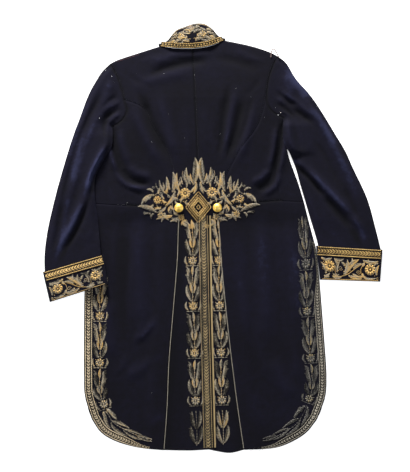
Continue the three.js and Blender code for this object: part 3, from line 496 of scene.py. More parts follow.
def turned(grid, turn):
    """Rows of a panel's upper face, carried round a fold at their first point and turned back under it."""
    rows = []
    for row in grid:
        ahead = row[6, :2] - row[0, :2]
        inward = ahead / np.linalg.norm(ahead)
        away = np.linalg.norm(row[:, :2] - row[0, :2], axis=1)
        high = row[3, 2] / 2
        bulge = min(high, 0.45 * away[-1])
        reach = min(turn, 0.9 * away[-1])
        under = [(*(row[0, :2] + inward * d), 0.0) for d in (reach, (reach + bulge) / 2)]
        angles = np.radians(np.linspace(-90, 90, 9)[:-1])
        fold = [(*(row[0, :2] + inward * bulge * (1 - math.cos(a))), high * (1 + math.sin(a)))
                for a in angles]
        kept = row.copy()
        for index in np.flatnonzero(away < bulge * (1 + 0.02 * np.arange(len(away)))):
            kept[index, :2] = row[0, :2] + inward * bulge * (1 + 0.02 * index)
            kept[index, 2] = 2 * high
        rows.append(np.vstack([under, fold, kept]))
    return np.array(rows)


for side in ("left", "right"):
    sign = 1 if side == "left" else -1
    flank = edge((f"flank_{side}", 50))
    seam = edge((f"side_{side}", 50))
    arm = edge((f"armhole_{side}", 20), (f"underarm_{side}", 30))
    inset = sign * FRONT_INSET * smooth(0, 12, np.arange(1, len(flank)))
    outer = np.vstack([arm, flank[1:] + np.column_stack([inset, 0 * inset])])
    inner = edge((f"front_neck_{side}", 50), (f"front_edge_{side}", 50))
    lower_sheet = plan(outer, inner, edge((f"front_shoulder_{side}", 20)),
                       np.linspace(outer[-1], inner[-1], 20), 60)
    lower_sheet = sewn(lower_sheet, lambda x, y: np.full(x.shape, FLOOR), [])
    across = np.linspace(0, 1, 20)[None, :, None]
    flap = flank[2:, None] * (1 - across) + seam[2:, None] * across
    flap = sewn(flap, lambda x, y: np.maximum(OVER, body_middle(x, y)), [f"side_{side}", f"waist_{side}"])
    cloth(f"front_{side}_cloth", [lower_sheet, turned(flap, FLANK_TURN)], WALL)

# ---- Skirts ----
# The fronts' lower parts, sewn on at the waist and spread open in one layer of cloth. Their back edges are
# pleats, turned under by 24 mm, and they stand over the tails.
LINES |= {
    "waist_front_left": [(-212, 82), (-300, 88)],
    "waist_front_right": [(172, 94), (229, 92)],
    "skirt_edge_left": [(-300, 88), (-308, 32), (-315, -60), (-319, -150), (-320, -342), (-318, -392),
                        (-301, -451)],
    "skirt_edge_right": [(229, 92), (240, 48), (251.5, 5), (260.5, -30), (266.4, -80), (275, -185),
                         (281, -262), (286, -345), (283, -395), (263, -452)],
    "hem_left": [(-301, -451), (-279, -484), (-247, -505), (-188, -523), (-121.5, -530)],
    "hem_right": [(263, -452), (238, -484), (206, -506), (160, -524), (81, -529)],
}
SKIRT_FOLDS = [
    ((-215, 52), (-222, -60), (-224, -270), -1.6, 16), ((-258, -150), (-262, -210), (-250, -300), 3, 18),
    ((-180, 50), (-182, -80), (-172, -240), 3.6, 22), ((-135, -202), (-160, -230), (-188, -258), 3.4, 9),
    ((-124, -290), (-136, -300), (-146, -308), 2.6, 6), ((-122, -446), (-138, -452), (-156, -462), 2.6, 7),
    ((-150, -300), (-180, -330), (-215, -345), 2.4, 14),
    ((-165, -440), (-145, -445), (-120, -440), 1.8, 12), ((-75, -190), (-85, -200), (-98, -228), 1.6, 10),
    ((120, 60), (128, -70), (140, -260), 3.4, 22), ((190, 50), (205, -60), (215, -210), 3, 20),
    ((60, 30), (72, -90), (90, -230), 2.2, 16), ((150, -300), (170, -350), (205, -400), 2.4, 18),
]
SKIRT_CREASES = [
    ((-128, 40), (-132, -60), (-128, -170), 1.4, 12), ((-240, 40), (-246, -50), (-248, -140), 1.2, 10),
    ((-200, -60), (-206, -150), (-204, -220), 1.3, 9), ((-176, -210), (-184, -240), (-196, -262), 1.2, 7),
    ((-210, -290), (-224, -320), (-244, -338), 1.2, 9), ((-146, -330), (-152, -380), (-148, -420), 1.3, 12),
    ((60, -60), (74, -160), (92, -250), 1.2, 10), ((160, 40), (172, -60), (182, -160), 1.3, 12),
    ((110, -200), (124, -290), (140, -360), 1.3, 12), ((196, -240), (206, -300), (214, -360), 1.2, 10),
    ((100, -380), (112, -430), (124, -470), 1.1, 12),
]


def skirt_middle(side):
    """Flat beside its edges and along its pleat, with long soft folds between."""

    def middle(x, y):
        flat = np.minimum(off_line(f"skirt_edge_{side}", x, y), off_line(f"hem_{side}", x, y))
        waist = smooth(20, WAIST, y)
        pleat = 1 - smooth(TURN + 6, TURN + 34, off_line(f"pleat_{side}", x, y))
        rise = np.maximum(0, folds(SKIRT_FOLDS, x, y) + folds(SKIRT_CREASES, x, y))
        lifted = rise * smooth(22, 48, flat) * (1 - waist) * (1 - pleat)
        return body_middle(x, y) + lifted + (OVER - FLOOR) * pleat * (1 - waist)

    return middle


for side in ("left", "right"):
    shape = plan(edge((f"pleat_{side}", 90)), edge((f"skirt_edge_{side}", 90)),
                 edge((f"waist_{side}", 40), (f"waist_front_{side}", 20)), edge((f"hem_{side}", 60))[::-1],
                 104, borders=(1.2, 3, 6, 10, 16, 24))
    upper = sewn(shape, skirt_middle(side), [f"waist_{side}", f"waist_front_{side}"],
                 free=[f"skirt_edge_{side}", f"hem_{side}"])
    # The skirts' tone takes painted light from their folds' ridges and painted shade from their troughs.
    cloth(f"skirt_{side}_cloth", [turned(upper, TURN)], WALL,
          relief=lambda x, y: folds(SKIRT_FOLDS, x, y) + folds(SKIRT_CREASES, x, y) + 0.5 * body_relief(x, y))

# ---- Sleeves ----
# Two-piece sleeves: an upper and a lower layer with the same outline, lying on each other, in a lighter 2 mm
# of cloth and lining. The upper one has the folds.
SLEEVE_WALL = 2.0
SLEEVE_SWELL = 4
LINES |= {
    "sleeve_outer_left": [(-254, 435), (-272, 418), (-286, 398), (-308, 358), (-331, 297), (-346, 257),
                          (-371, 177), (-393, 97), (-411, 17), (-418, -40), (-418, -83)],
    "sleeve_outer_right": [(163, 454), (184, 438), (209, 398), (244, 358), (272, 318), (309, 257), (333, 217),
                           (351, 177), (388, 97), (410, 17), (421, -28)],
    "sleeve_inner_left": [(-248, 278), (-250, 230), (-270, 195), (-291, 152), (-292, 100), (-285, 45),
                          (-277, -43)],
    "sleeve_inner_right": [(178, 300), (179, 240), (197, 205), (210, 172), (220, 135), (232, 95), (245, 50),
                           (258, 8), (265.5, -20)],
    "wrist_left": [(-267, -111), (-399, -155.5)],
    "wrist_right": [(276, -101.5), (413.5, -105.5)],
}
SLEEVE_FOLDS = {
    "left": [
        ((-262, 236), (-300, 160), (-318, 100), 6.5, 8),
        ((-318, 100), (-350, 30), (-400, -58), 7.5, 9),
        ((-252, 222), (-289, 150), (-305, 96), -5, 5),
        ((-305, 96), (-336, 24), (-386, -64), -6, 6),
        ((-330, 150), (-346, 90), (-372, 20), -2.2, 9),
        ((-272, 372), (-335, 236), (-372, 95), -5, 7),
        ((-372, 95), (-384, 20), (-398, -60), -4.5, 7),
        ((-292, 384), (-352, 250), (-396, 70), 2.6, 8),
        ((-258, 345), (-318, 232), (-352, 95), 3.4, 11),
        ((-250, 395), (-262, 360), (-262, 310), 2.8, 12),
        ((-250, 330), (-266, 296), (-268, 250), -3.6, 7),
        ((-232, 356), (-256, 342), (-274, 322), -2.4, 5),
        ((-226, 326), (-246, 312), (-266, 298), -2.8, 5),
        ((-228, 341), (-250, 328), (-270, 308), 2.4, 5),
        ((-228, 312), (-248, 296), (-262, 262), 3, 6),
        ((-300, 300), (-318, 240), (-330, 190), -1.6, 6),
        ((-276, 140), (-284, 90), (-284, 40), 1.6, 7),
        ((-300, 20), (-312, -20), (-330, -60), 1.6, 7),
    ],
    "right": [
        ((176, 262), (184, 208), (232, 176), 6, 8),
        ((232, 176), (290, 118), (350, 56), 7, 10),
        ((350, 56), (372, 22), (380, -14), 6, 9),
        ((188, 192), (236, 156), (280, 104), -6, 6),
        ((280, 104), (314, 64), (348, 22), -6, 8),
        ((348, 22), (360, 4), (366, -16), -6, 7),
        ((170, 345), (215, 312), (252, 285), -4, 7),
        ((176, 362), (216, 334), (256, 300), 3, 7),
        ((184, 300), (192, 254), (206, 204), 4, 8),
        ((201, 296), (212, 256), (226, 210), -3, 7),
        ((226, 292), (238, 250), (250, 206), 1.6, 9),
        ((232, 345), (285, 262), (345, 150), 3.2, 11),
        ((216, 376), (286, 290), (352, 165), -3.2, 7),
        ((178, 410), (190, 380), (188, 345), 2.6, 12),
        ((160, 366), (190, 343), (216, 330), -2.6, 5),
        ((158, 334), (184, 320), (208, 300), -3, 5),
        ((158, 350), (186, 332), (212, 315), 2.6, 5),
        ((262, 240), (290, 190), (318, 130), -2.2, 7),
        ((330, 130), (356, 70), (378, 20), -2.6, 7),
        ((232, 120), (252, 70), (272, 24), 1.6, 7),
        ((300, 20), (318, -8), (336, -26), 1.6, 7),
    ],
}


def into_cuff(side, x, y):
    """1 where the sleeve lies in its cuff."""
    above = y + 85 - (x + 422) * 0.29 if side == "left" else y + 24 - (342 - x) * 0.06
    return smooth(80, 30, above)


def carried(side, x, y):
    """How high a sleeve is carried by the coat's flank and skirt beneath it."""
    if side == "right":
        flank_x = 178 + 22 * smooth(300, 180, y)
        return 7.6 * smooth(flank_x + 70, flank_x + 3, x) * smooth(300, 278, y) * smooth(202, 218, y)
    edge_x = np.where(y > 88, -248 - 44 * smooth(278, 88, y), -292 - 28 * smooth(88, -150, y))
    soft = (4.8 + 2.8 * smooth(40, 100, y)) * smooth(edge_x - 85, edge_x - 4, x) * smooth(290, 250, y)
    stiff = np.maximum(0, (x + 424) * 0.0465)
    share = into_cuff(side, x, y)
    return soft * (1 - share) + stiff * share


def sleeve_middle(side, layer):
    """The middle of a sleeve's lower or upper layer. At the armhole the upper one meets the back's cloth."""

    def low_middle(x, y):
        return SLEEVE_WALL / 2 + carried(side, x, y) + (SLEEVE_WALL + GAP) * into_cuff(side, x, y)

    def top_middle(x, y):
        sides = np.minimum(off_line(f"sleeve_inner_{side}", x, y), off_line(f"sleeve_outer_{side}", x, y))
        arm = np.minimum(off_line(f"armhole_{side}", x, y), off_line(f"underarm_{side}", x, y))
        fade = smooth(1.5, 15, sides) * (1 - into_cuff(side, x, y))
        relief = np.maximum(0, SLEEVE_SWELL + folds(SLEEVE_FOLDS[side], x, y)) * fade
        pinched = 1.6 * np.exp(-((sides / 3) ** 2)) * smooth(2, 12, arm)
        own = low_middle(x, y) + SLEEVE_WALL + GAP + relief - pinched
        share = smooth(4, 40, arm)
        return np.maximum(own, body_middle(x, y)) * (1 - share) + own * share

    return low_middle if layer == "under" else top_middle


for side in ("left", "right"):
    wrist = edge((f"wrist_{side}", 20))
    inner = edge((f"underarm_{side}", 30), (f"sleeve_inner_{side}", 70))
    outer = edge((f"sleeve_outer_{side}", 100))
    inner = np.vstack([inner, np.linspace(inner[-1], wrist[0], 11)[1:]])
    outer = np.vstack([outer, np.linspace(outer[-1], wrist[-1], 11)[1:]])
    shape = plan(inner, outer, edge((f"armhole_{side}", 20))[::-1], wrist, 112)
    for layer in ("under", "top"):
        middle = sleeve_middle(side, layer)
        seams = [f"armhole_{side}", f"underarm_{side}"] if layer == "top" else []
        # The sleeves' tone is drawn a little lighter and bluer all over, with painted light on their folds'
        # ridges and painted shade in their troughs.
        cloth(f"{layer}sleeve_{side}_cloth", [sewn(shape, middle, seams, SLEEVE_WALL)], SLEEVE_WALL,
              relief=lambda x, y, side=side: 1.2 + 0.8 * folds(SLEEVE_FOLDS[side], x, y))

# ---- Cuffs ----
# Deep round cuffs of the same broadcloth, turned back over the sleeves' ends and pressed flat: a ring of
# cloth with a fold at each side.
CUFF_CORNERS = {
    "left": [(-271, -41), (-422.5, -85), (-260, -114), (-405, -160)],
    "right": [(259.5, -19), (426, -29), (269.5, -104), (420, -109)],
}
CUFFS = {side: dict(zip(("inner_top", "outer_top", "inner_end", "outer_end"), np.array(corners, float)))
         for side, corners in CUFF_CORNERS.items()}
CUFF_HIGH = SLEEVE_WALL + 3 * (SLEEVE_WALL + GAP) + GAP  # the outside of the flattened ring


def cuff_ring(side):
    """Points of the cuff's outer face, ring by ring from the sleeve's side."""
    corner = CUFFS[side]
    radius = CUFF_HIGH / 2
    rows = []
    for share in [0, 0.02, 0.05, *np.linspace(0.1, 0.9, 14), 0.95, 0.98, 1]:
        start = corner["inner_top"] * (1 - share) + corner["inner_end"] * share
        end = corner["outer_top"] * (1 - share) + corner["outer_end"] * share
        length = np.linalg.norm(end - start)
        flat = np.linspace(radius, length - radius, 26)
        lip = 0.5 * math.exp(-((min(share, 1 - share) / 0.012) ** 2))
        ring = [(d, CUFF_HIGH - lip) for d in flat]
        turn = np.radians(np.linspace(90, -90, 11)[1:-1])
        ring += [(length - radius + radius * math.cos(a), radius + radius * math.sin(a)) for a in turn]
        ring += [(d, 0.0) for d in flat[::-1]]
        ring += [(radius - radius * math.cos(a), radius + radius * math.sin(a)) for a in turn[::-1]]
        ring.append(ring[0])
        across = (end - start) / length
        points = [(*(start + across * d), z) for d, z in ring]
        rows.append([(x, y, z + float(carried(side, x, y))) for x, y, z in points])
    return np.array(rows)


for side in ("left", "right"):
    cloth(f"cuff_{side}_cloth", [cuff_ring(side)], SLEEVE_WALL, form="ring")

# ---- Collar ----
# A low standing collar of stiffened cloth, open under the chin. Laid flat it is a pressed ring: the half that
# shows stands on the neck seam, and the other half lies beneath it.
COLLAR_RIM = [(-131, 484), (-113, 491), (-90, 517), (-66, 527), (-42, 534.5), (-18, 533), (2, 520), (16, 504),
              (31, 497)]
COLLAR_HEIGHT = 50


def collar_faces():
    """Points of the collar's outer face, row by row from its foot, round from one front end to the other."""
    rim = through(COLLAR_RIM, 41)
    neck = edge(("neck_left", 20), ("neck_right", 20))
    chin = np.array([-42.0, 392.0])
    feet = []
    for side, end, gap in (("left", rim[0], -0.6), ("right", rim[-1], 0.6)):
        under = edge((f"front_neck_{side}", 16))[1:][::-1]
        under[0] = (chin[0] + gap, under[0][1])
        closing = 0.95 * (np.arange(len(under)) / (len(under) - 1)) ** 0.7
        heads = (under + (0, COLLAR_HEIGHT)) * (1 - closing[:, None]) + end * closing[:, None]
        feet.append([(foot, head, "under") for foot, head in zip(under, heads)])
    columns = feet[0]
    for index, (foot, head) in enumerate(zip(neck, rim)):
        if index in (0, len(neck) - 1):
            turn = np.radians(np.linspace(-90, 90, 7)[1:])
            ends = [(foot, head, (a, -1 if index == 0 else 1)) for a in (turn if index == 0 else turn[::-1])]
            columns = columns + ends
        else:
            columns.append((foot, head, min(index, len(neck) - 1 - index) / (len(neck) - 1)))
    columns = columns + feet[1][::-1]
    rows = []
    for v in [0, 0.03, 0.08, *np.linspace(0.14, 0.88, 10), 0.93, 0.97, 1]:
        row = []
        for foot, head, kind in columns:
            x, y = foot * (1 - v) + head * v
            if kind == "under":
                row.append((x, y + 1.0, 0.0))
                continue
            height = max(OVER + 0.6, float(body_middle(*foot))) + WALL / 2
            if isinstance(kind, tuple):
                angle, way = kind
                row.append((x + way * 3.0 * math.cos(angle), y, height / 2 * (1 + math.sin(angle))))
                continue
            bulge = 7 * math.sin(math.pi * min(1, 0.25 + 0.6 * v)) * float(smooth(0, 0.25, kind))
            lip = 0.7 * math.exp(-((min(v, 1 - v) / 0.03) ** 2))
            row.append((x, y, height + bulge - lip))
        rows.append(row)
    return np.array(rows)


cloth("collar_cloth", [collar_faces()], WALL, form="open ring")

# ---- Gold braid ----
# Woven gilt braid, sewn flat along the skirts' edges, round their corners, along both edges of the vent and
# round the cuffs' upper edges. It is a notched band between two cords. The right skirt's is tarnished.
EDGE_INSET = 2.5
VENT_INSET = 1.5
BRAID_CORD = [(0, 0.5), (0.4, 1.4), (1.3, 1.8), (2.2, 1.4), (2.6, 0.5)]  # points across and up
BAND_START = 2.9  # where the band begins, beside the cord
CHEVRONS = (7.5, 0.46, 0.7)  # how far apart, the share of that which is pressed in, and how deep
TWISTS = (5, 0.3, 0.35)  # the same for the turns of the cords, pressed in where a sine is above the share


def resting_on(*names):
    """Gives the height in millimetres of the highest of these pieces, at a point of the plan."""
    points, faces = [], []
    for name in names:
        mesh = bpy.data.objects[name].data
        faces += [[i + len(points) for i in polygon.vertices] for polygon in mesh.polygons]
        points += [vertex.co for vertex in mesh.vertices]
    tree = BVHTree.FromPolygons(points, faces)

    def height(x, y, missing=0.0):
        hit = tree.ray_cast(place(x, y, 60), Vector((0, 0, -1)))[0]
        return missing if hit is None else hit.z / MM

    return height


def swept(path, section, height, draped=True, notch=None, widths=None):
    """A closed strip: a section of points across and up, carried along a path and laid on the cloth."""
    path = np.array(path, float)
    along = run_of(path)
    section = [*section, section[0]]
    widths = np.ones(len(path)) if widths is None else widths
    rows = []
    for at, (ax, ay), s, share in zip(path, heading(path), along, widths):
        base = height(*at)
        row = []
        for across, up in section:
            x, y = at[0] - ay * across * share, at[1] + ax * across * share
            cut = notch(s, across) if notch and up > 0.4 else 0
            row.append((x, y, max(0.0, (height(x, y, base) if draped else base) + up - cut)))
        rows.append(row)
    rows = np.array(rows)
    bm = bmesh.new()
    marks = [bm.verts.layers.float.new(name) for name in ("along", "across", "tone")]
    bmesh.ops.create_grid(bm, x_segments=len(section) - 1, y_segments=len(path) - 1, size=0.5)
    for index, vertex in enumerate(bm.verts):
        row, column = divmod(index, len(section))
        vertex.co = place(*rows[row, column])
        across, up = section[column]
        vertex[marks[0]], vertex[marks[1]] = along[row], across
        # Painted light and shade in the tone: higher points are lighter, pressed notches darker, and the low
        # gutters, cord feet and underside darkest.
        pressed = notch(along[row], across) if notch else 0
        vertex[marks[2]] = min(1, 0.2 + up / 1.6) - 1.7 * pressed if up > 0.6 else -0.3
    bmesh.ops.remove_doubles(bm, verts=bm.verts[:], dist=SAME)
    bmesh.ops.holes_fill(bm, edges=[e for e in bm.edges if e.is_boundary])
    bmesh.ops.recalc_face_normals(bm, faces=bm.faces[:])
    return bm


def lace_section(start, width):
    """A cord, a band and a cord, inwards from the braid's outer edge. The sign of start gives the side."""
    way = math.copysign(1, start)
    rim = BAND_START + 0.11 * width
    half_band = [(BAND_START, 0.1), (rim, 0.1), (rim + 0.3, 1.0), (width * 0.4, 1.3)]
    half = [(0, -0.4), *BRAID_CORD, *half_band]
    whole = [*half, (width * 0.5, 1.4), *((width - across, up) for across, up in half[::-1])]
    return [(start + way * across, up) for across, up in whole]


def lace_notches(start, width):
    """Chevrons pressed into the band, and the twist of the cords, as a depth at a point of the braid."""

    def notch(along, across):
        off_middle = abs(abs(across) - abs(start) - width / 2)
        if off_middle > width / 2 - BAND_START - 0.7:
            apart, share, deep = TWISTS
            return deep * (math.sin(2 * math.pi * along / apart + across) > share)
        apart, share, deep = CHEVRONS
        return deep * (((along + off_middle) / apart) % 1 < share)

    return notch


def shifted_tone(material, at, patterns):
    """A thread's tone, with any painted light and shade on it, made lighter and darker by noises: grain in
    mm, detail, roughness and strength.
    """
    toned = add_node(material, "ShaderNodeAttribute", attribute_name="tone").outputs["Fac"]
    for size, detail, rough, strength in patterns:
        noise = add_node(material, "ShaderNodeTexNoise",
                         {"Vector": at, "Scale": scale_of(size), "Detail": detail, "Roughness": rough})
        shift = add_node(material, "ShaderNodeMath", {0: noise.outputs["Fac"], 1: strength, 2: -strength / 2},
                         operation="MULTIPLY_ADD")
        both = add_node(material, "ShaderNodeMath", {0: toned, 1: shift.outputs[0]}, operation="ADD")
        toned = both.outputs[0]
    return toned


# Gilt or silver-gilt wire wrapped on silk and woven. It has a broken shine, because each thread catches the
# lamps by itself, over gaps and notches that are painted dark as shade. It is worn in spots and dulled in
# long patches. The real thread is a third of a millimetre, too fine to show, so it is drawn at 1.6 mm.
THREAD = 1.6


def metal_thread(name, bright, mid, dark, roughness, metallic):
    """Woven threads, as slanting lines from the lengths along and across that are marked on the strip."""
    material, at = new_material(name)
    along = add_node(material, "ShaderNodeAttribute", attribute_name="along")
    across = add_node(material, "ShaderNodeAttribute", attribute_name="across")
    slant = add_node(material, "ShaderNodeMath", {0: along.outputs["Fac"], 1: across.outputs["Fac"]},
                     operation="ADD")
    threads = add_node(material, "ShaderNodeMath", {0: slant.outputs[0], 1: 2 * math.pi / THREAD},
                       operation="MULTIPLY")
    wave = add_node(material, "ShaderNodeMath", {0: threads.outputs[0]}, operation="SINE")
    grain = add_node(material, "ShaderNodeTexNoise", {"Vector": at, "Scale": scale_of(1.43), "Detail": 2.0})
    toned = shifted_tone(material, at, [(16.7, 5.0, 0.65, 0.9), (111, 2.0, 0.5, 1.2)])
    mixed = add_node(material, "ShaderNodeMath", {0: grain.outputs["Fac"], 1: 0.5, 2: toned},
                     operation="MULTIPLY_ADD")
    metal = add_node(material, "ShaderNodeValToRGB", {"Fac": mixed.outputs[0]},
                     [(0.2, dark), (0.7, mid), (1.0, bright)])
    bump = add_node(material, "ShaderNodeBump",
                    {"Strength": 0.6, "Distance": 0.5 * MM, "Height": wave.outputs[0]})
    grain_bump = add_node(material, "ShaderNodeBump", {
        "Strength": 0.5, "Distance": 0.6 * MM, "Height": grain.outputs["Fac"],
        "Normal": bump.outputs["Normal"]})
    shader = add_node(material, "ShaderNodeBsdfPrincipled", {
        "Base Color": metal.outputs["Color"], "Metallic": metallic, "Roughness": roughness,
        "Normal": grain_bump.outputs["Normal"]})
    add_node(material, "ShaderNodeOutputMaterial", {"Surface": shader.outputs["BSDF"]})
    return material


gold_lace = metal_thread("woven gilt braid", "#c9a868", "#806640", "#120e08", 0.48, 0.5)
worn_lace = metal_thread("faded gilt braid", "#cdbb9c", "#645845", "#0a0806", 0.5, 0.5)
dull_lace = metal_thread("rubbed gilt braid", "#a08c64", "#40382a", "#060504", 0.52, 0.5)
old_lace = metal_thread("tarnished gilt braid", "#8f897c", "#565148", "#0f0e0c", 0.55, 0.5)


def lace(name, path, start, width, height, material, node=None, widths=None):
    """A length of braid on the cloth, in place of the plain strip if it is named."""
    strip = swept(path, lace_section(start, width), height, notch=lace_notches(start, width), widths=widths)
    tidy(name, strip, material, node, sharp=40)


# for each skirt: which way is inwards, the braid's width, how many steps before the hem's end it stops, and
# what it is made of
SKIRT_BRAIDS = {"left": (1, 18, 34, worn_lace, "gold_braid"),
                "right": (-1, 16, 40, old_lace, "tarnished_braid")}
for side, (way, width, stop, thread, slot) in SKIRT_BRAIDS.items():
    border = edge((f"skirt_edge_{side}", 560), (f"hem_{side}", 200))[105:-stop]
    step = np.arange(len(border))
    widths = 1 - 0.7 * smooth(len(border) - 75, len(border), step)
    if side == "right":
        widths = widths * (0.3 + 0.7 * smooth(70, 170, step))
    lace(f"skirt_braid_{side}", border, way * EDGE_INSET, width, resting_on(f"skirt_{side}_cloth"),
         thread,
         f"braid_skirt_{side}", widths)

VENT_BRAID = 23
vent_line = edge(("vent", 540))[2:-4]
lace("vent_braid_left", vent_line, -VENT_INSET, VENT_BRAID, resting_on("back_left_cloth"), dull_lace,
     "braid_vent_left")
VENT_CORD = (2.5, 2.0)  # its half width and its height
cord_section = [(VENT_INSET + VENT_CORD[0] * (1 - math.cos(a)), VENT_CORD[1] * math.sin(a))
                for a in np.radians(np.linspace(-20, 200, 9))]
tidy("vent_cord_right", swept(vent_line, cord_section, resting_on("back_right_cloth")),
     dull_lace,
     "braid_vent_right")

CUFF_BRAID = 22
for side, way in (("left", 1), ("right", -1)):
    start, end = CUFFS[side]["inner_top"], CUFFS[side]["outer_top"]
    across = (end - start) / np.linalg.norm(end - start)
    path = np.linspace(start + across * CUFF_HIGH / 2, end - across * CUFF_HIGH / 2, 240)
    lace(f"cuff_braid_{side}", path, way * 1.4, CUFF_BRAID, resting_on(f"cuff_{side}_cloth"), gold_lace,
         f"braid_cuff_{side}")

# ---- Piping and the shoulder loop ----
# A thin gold cord is sewn down each pleat, against the fold. A loop of old silk cord is sewn to the right
# shoulder.
CORD = 0.9
LOOP = 1.1


def round_section(radius, sides, lift):
    """A round cord's section, with its underside lift above the cloth."""
    return [(radius * math.cos(a), radius * (1 + math.sin(a)) + lift)
            for a in np.linspace(0, 2 * math.pi, sides + 1)[:-1]]


for side, way in (("left", 1), ("right", -1)):
    path = edge((f"pleat_{side}", 300))[15:-2] + (way * (CORD + 2 * GAP), 0)
    cord = swept(path, round_section(CORD, 10, 0.2), resting_on(f"back_{side}_cloth"), draped=False)
    tidy(f"pleat_piping_{side}", cord, old_lace, f"piping_{side}")

loop_path = through([(147, 451), (148, 463), (152, 471), (157, 468), (163, 458), (167, 450)], 60)
loop_cord = metal_thread("brown silk cord", "#6b5855", "#4d3f3d", "#2b2322", 0.7, 0.0)
loop_base = resting_on("back_right_cloth", "topsleeve_right_cloth")(147, 451)
loop = swept(loop_path, round_section(LOOP, 8, 0.4), lambda x, y: loop_base, draped=False)
tidy("cord_loop", loop, loop_cord, "shoulder_loop")

# ---- Buttons ----
# Stamped gilt brass over a wooden mould: a plain dome inside a beaded rim, sewn through a shank.
# Fire-gilt brass: a warm yellow mirror, a little clouded by handling.
gilt, gilt_at = new_material("fire-gilt brass")
gilt_wear = add_node(gilt, "ShaderNodeTexNoise", {"Vector": gilt_at, "Scale": scale_of(3.85), "Detail": 4.0})
gilt_tone = add_node(gilt, "ShaderNodeValToRGB", {"Fac": gilt_wear.outputs["Fac"]},
                     [(0.3, "#c89a3e"), (0.45, "#f4cf62"), (0.7, "#ffe796")])
gilt_bump = add_node(gilt, "ShaderNodeBump",
                     {"Strength": 0.3, "Distance": 0.4 * MM, "Height": gilt_wear.outputs["Fac"]})
gilt_shader = add_node(gilt, "ShaderNodeBsdfPrincipled", {
    "Base Color": gilt_tone.outputs["Color"], "Metallic": 1.0, "Roughness": 0.5,
    "Normal": gilt_bump.outputs["Normal"]})
add_node(gilt, "ShaderNodeOutputMaterial", {"Surface": gilt_shader.outputs["BSDF"]})
# points out and up, from the middle of the underside to the top of the dome
BUTTON_PROFILE = [
    (0, 0.0), (9.6, 0.0), (10.8, 0.5), (11, 1.3), (10.6, 2.0), (9.9, 2.2), (9.2, 1.9), (8.8, 2.3),
    (7.6, 3.5), (5.6, 4.6), (3.0, 5.3), (0, 5.5),
]
BEADS = 36
BEAD_RING = (9.9, 2.1)  # the circle of the beads' middles: its radius and height
BEAD = 0.75
for side in ("left", "right"):
    bm = bmesh.new()
    corners = [bm.verts.new((r * MM, 0, z * MM)) for r, z in BUTTON_PROFILE]
    rim = [bm.edges.new(pair) for pair in zip(corners, corners[1:])]
    bmesh.ops.spin(bm, geom=corners + rim, cent=(0, 0, 0), axis=(0, 0, 1), angle=2 * math.pi, steps=40,
                   use_merge=True)
    bmesh.ops.remove_doubles(bm, verts=bm.verts[:], dist=SAME)
    for turn in range(BEADS):
        angle = 2 * math.pi * turn / BEADS
        ring, up = BEAD_RING
        spot = Matrix.Translation(Vector((ring * math.cos(angle), ring * math.sin(angle), up)) * MM)
        bmesh.ops.create_icosphere(bm, subdivisions=1, radius=BEAD * MM, matrix=spot)
    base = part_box(f"button_{side}")[0].z
    bmesh.ops.translate(bm, verts=bm.verts[:], vec=place(*BUTTON_PLACES[side], base / MM))
    bmesh.ops.recalc_face_normals(bm, faces=bm.faces[:])
    tidy(f"gilt_button_{side}", bm, gilt, f"button_{side}", sharp=60)

# ---- Embroidered borders ----
# Leaf and flower embroidery in gilt and silver-gilt thread, laid over padding and couched down. Each leaf is
# a rib with slanting barbs. Blocks of it follow the skirts' braid and both sides of the vent.
BLOCK = 117  # from one block to the next
TIP_LENGTH = 135  # of the drawing of a border's pointed end
STITCHES = 75  # degrees at which an edge of a stitch is sharp
BARB_STEP = 3.6  # from one barb of a leaf to the next


def stitch(bm, start, end, width, height, tone):
    """One laid stitch, half sunk in the cloth. tone is 0 for blackened silver and 1 for bright gilt."""
    ahead = Vector((end[0] - start[0], end[1] - start[1]))
    middle = Matrix.Translation(((end[0] + start[0]) / 2, (end[1] + start[1]) / 2, 0))
    turn = Matrix.Rotation(math.atan2(ahead.y, ahead.x), 4, "Z")
    shape = Matrix.Diagonal((ahead.length * 0.54, width / 2, height, 1))
    made = bmesh.ops.create_icosphere(bm, subdivisions=1, radius=1.0, matrix=middle @ turn @ shape)
    mark = bm.verts.layers.float["tone"]
    for vertex in made["verts"]:
        vertex[mark] = tone


def bow(start, end, bend, count):
    """count points on an arc that bows to the left of its way by bend times its length."""
    start, end = np.array(start, float), np.array(end, float)
    share = np.linspace(0, 1, count)[:, None]
    side = np.array([start[1] - end[1], end[0] - start[0]])
    return start + (end - start) * share + side * bend * 4 * share * (1 - share)


def stem(bm, points, width, tone):
    for start, end in zip(points, points[1:]):
        stitch(bm, start, end, width, 0.9, tone)


def feather(bm, start, end, width, bend=0.0, tone=0.5):
    """A feather leaf: slanting barbs on both sides of a rib, and one at the tip."""
    pairs = max(4, round(math.dist(start, end) / BARB_STEP))
    points = bow(start, end, bend, pairs + 2)
    ahead = heading(points)
    stem(bm, points[::2] if pairs % 2 else np.vstack([points[:-1:2], points[-1:]]), 1.3, tone + 0.25)
    for index in range(1, pairs + 1):
        reach = width / 2 * math.sin(math.pi * (index / (pairs + 1)) ** 0.85) ** 0.7
        for way in (-1, 1):
            side = way * np.array([-ahead[index][1], ahead[index][0]])
            tip = points[index] + (ahead[index] * 0.8 + side) * reach
            # Painted light: barbs on one side of the rib are drawn lighter and on the other darker, as light
            # falls on their slant; alternate barbs also differ a little in tone.
            barb_tone_with_painted_side_light = tone - 0.05 + 0.14 * way + 0.1 * (index % 2)
            stitch(bm, points[index] - ahead[index], tip, 2.7, 1.4, barb_tone_with_painted_side_light)
    stitch(bm, points[-2], points[-1] + ahead[-1] * 1.5, 2.4, 1.0, tone)


def leaves(bm, rows, way=1):
    """Feather leaves from rows of foot, tip, width, bend and tone. way -1 mirrors them across y."""
    for foot, tip, width, bend, tone in rows:
        feather(bm, (foot[0], foot[1] * way), (tip[0], tip[1] * way), width, bend * way, tone)


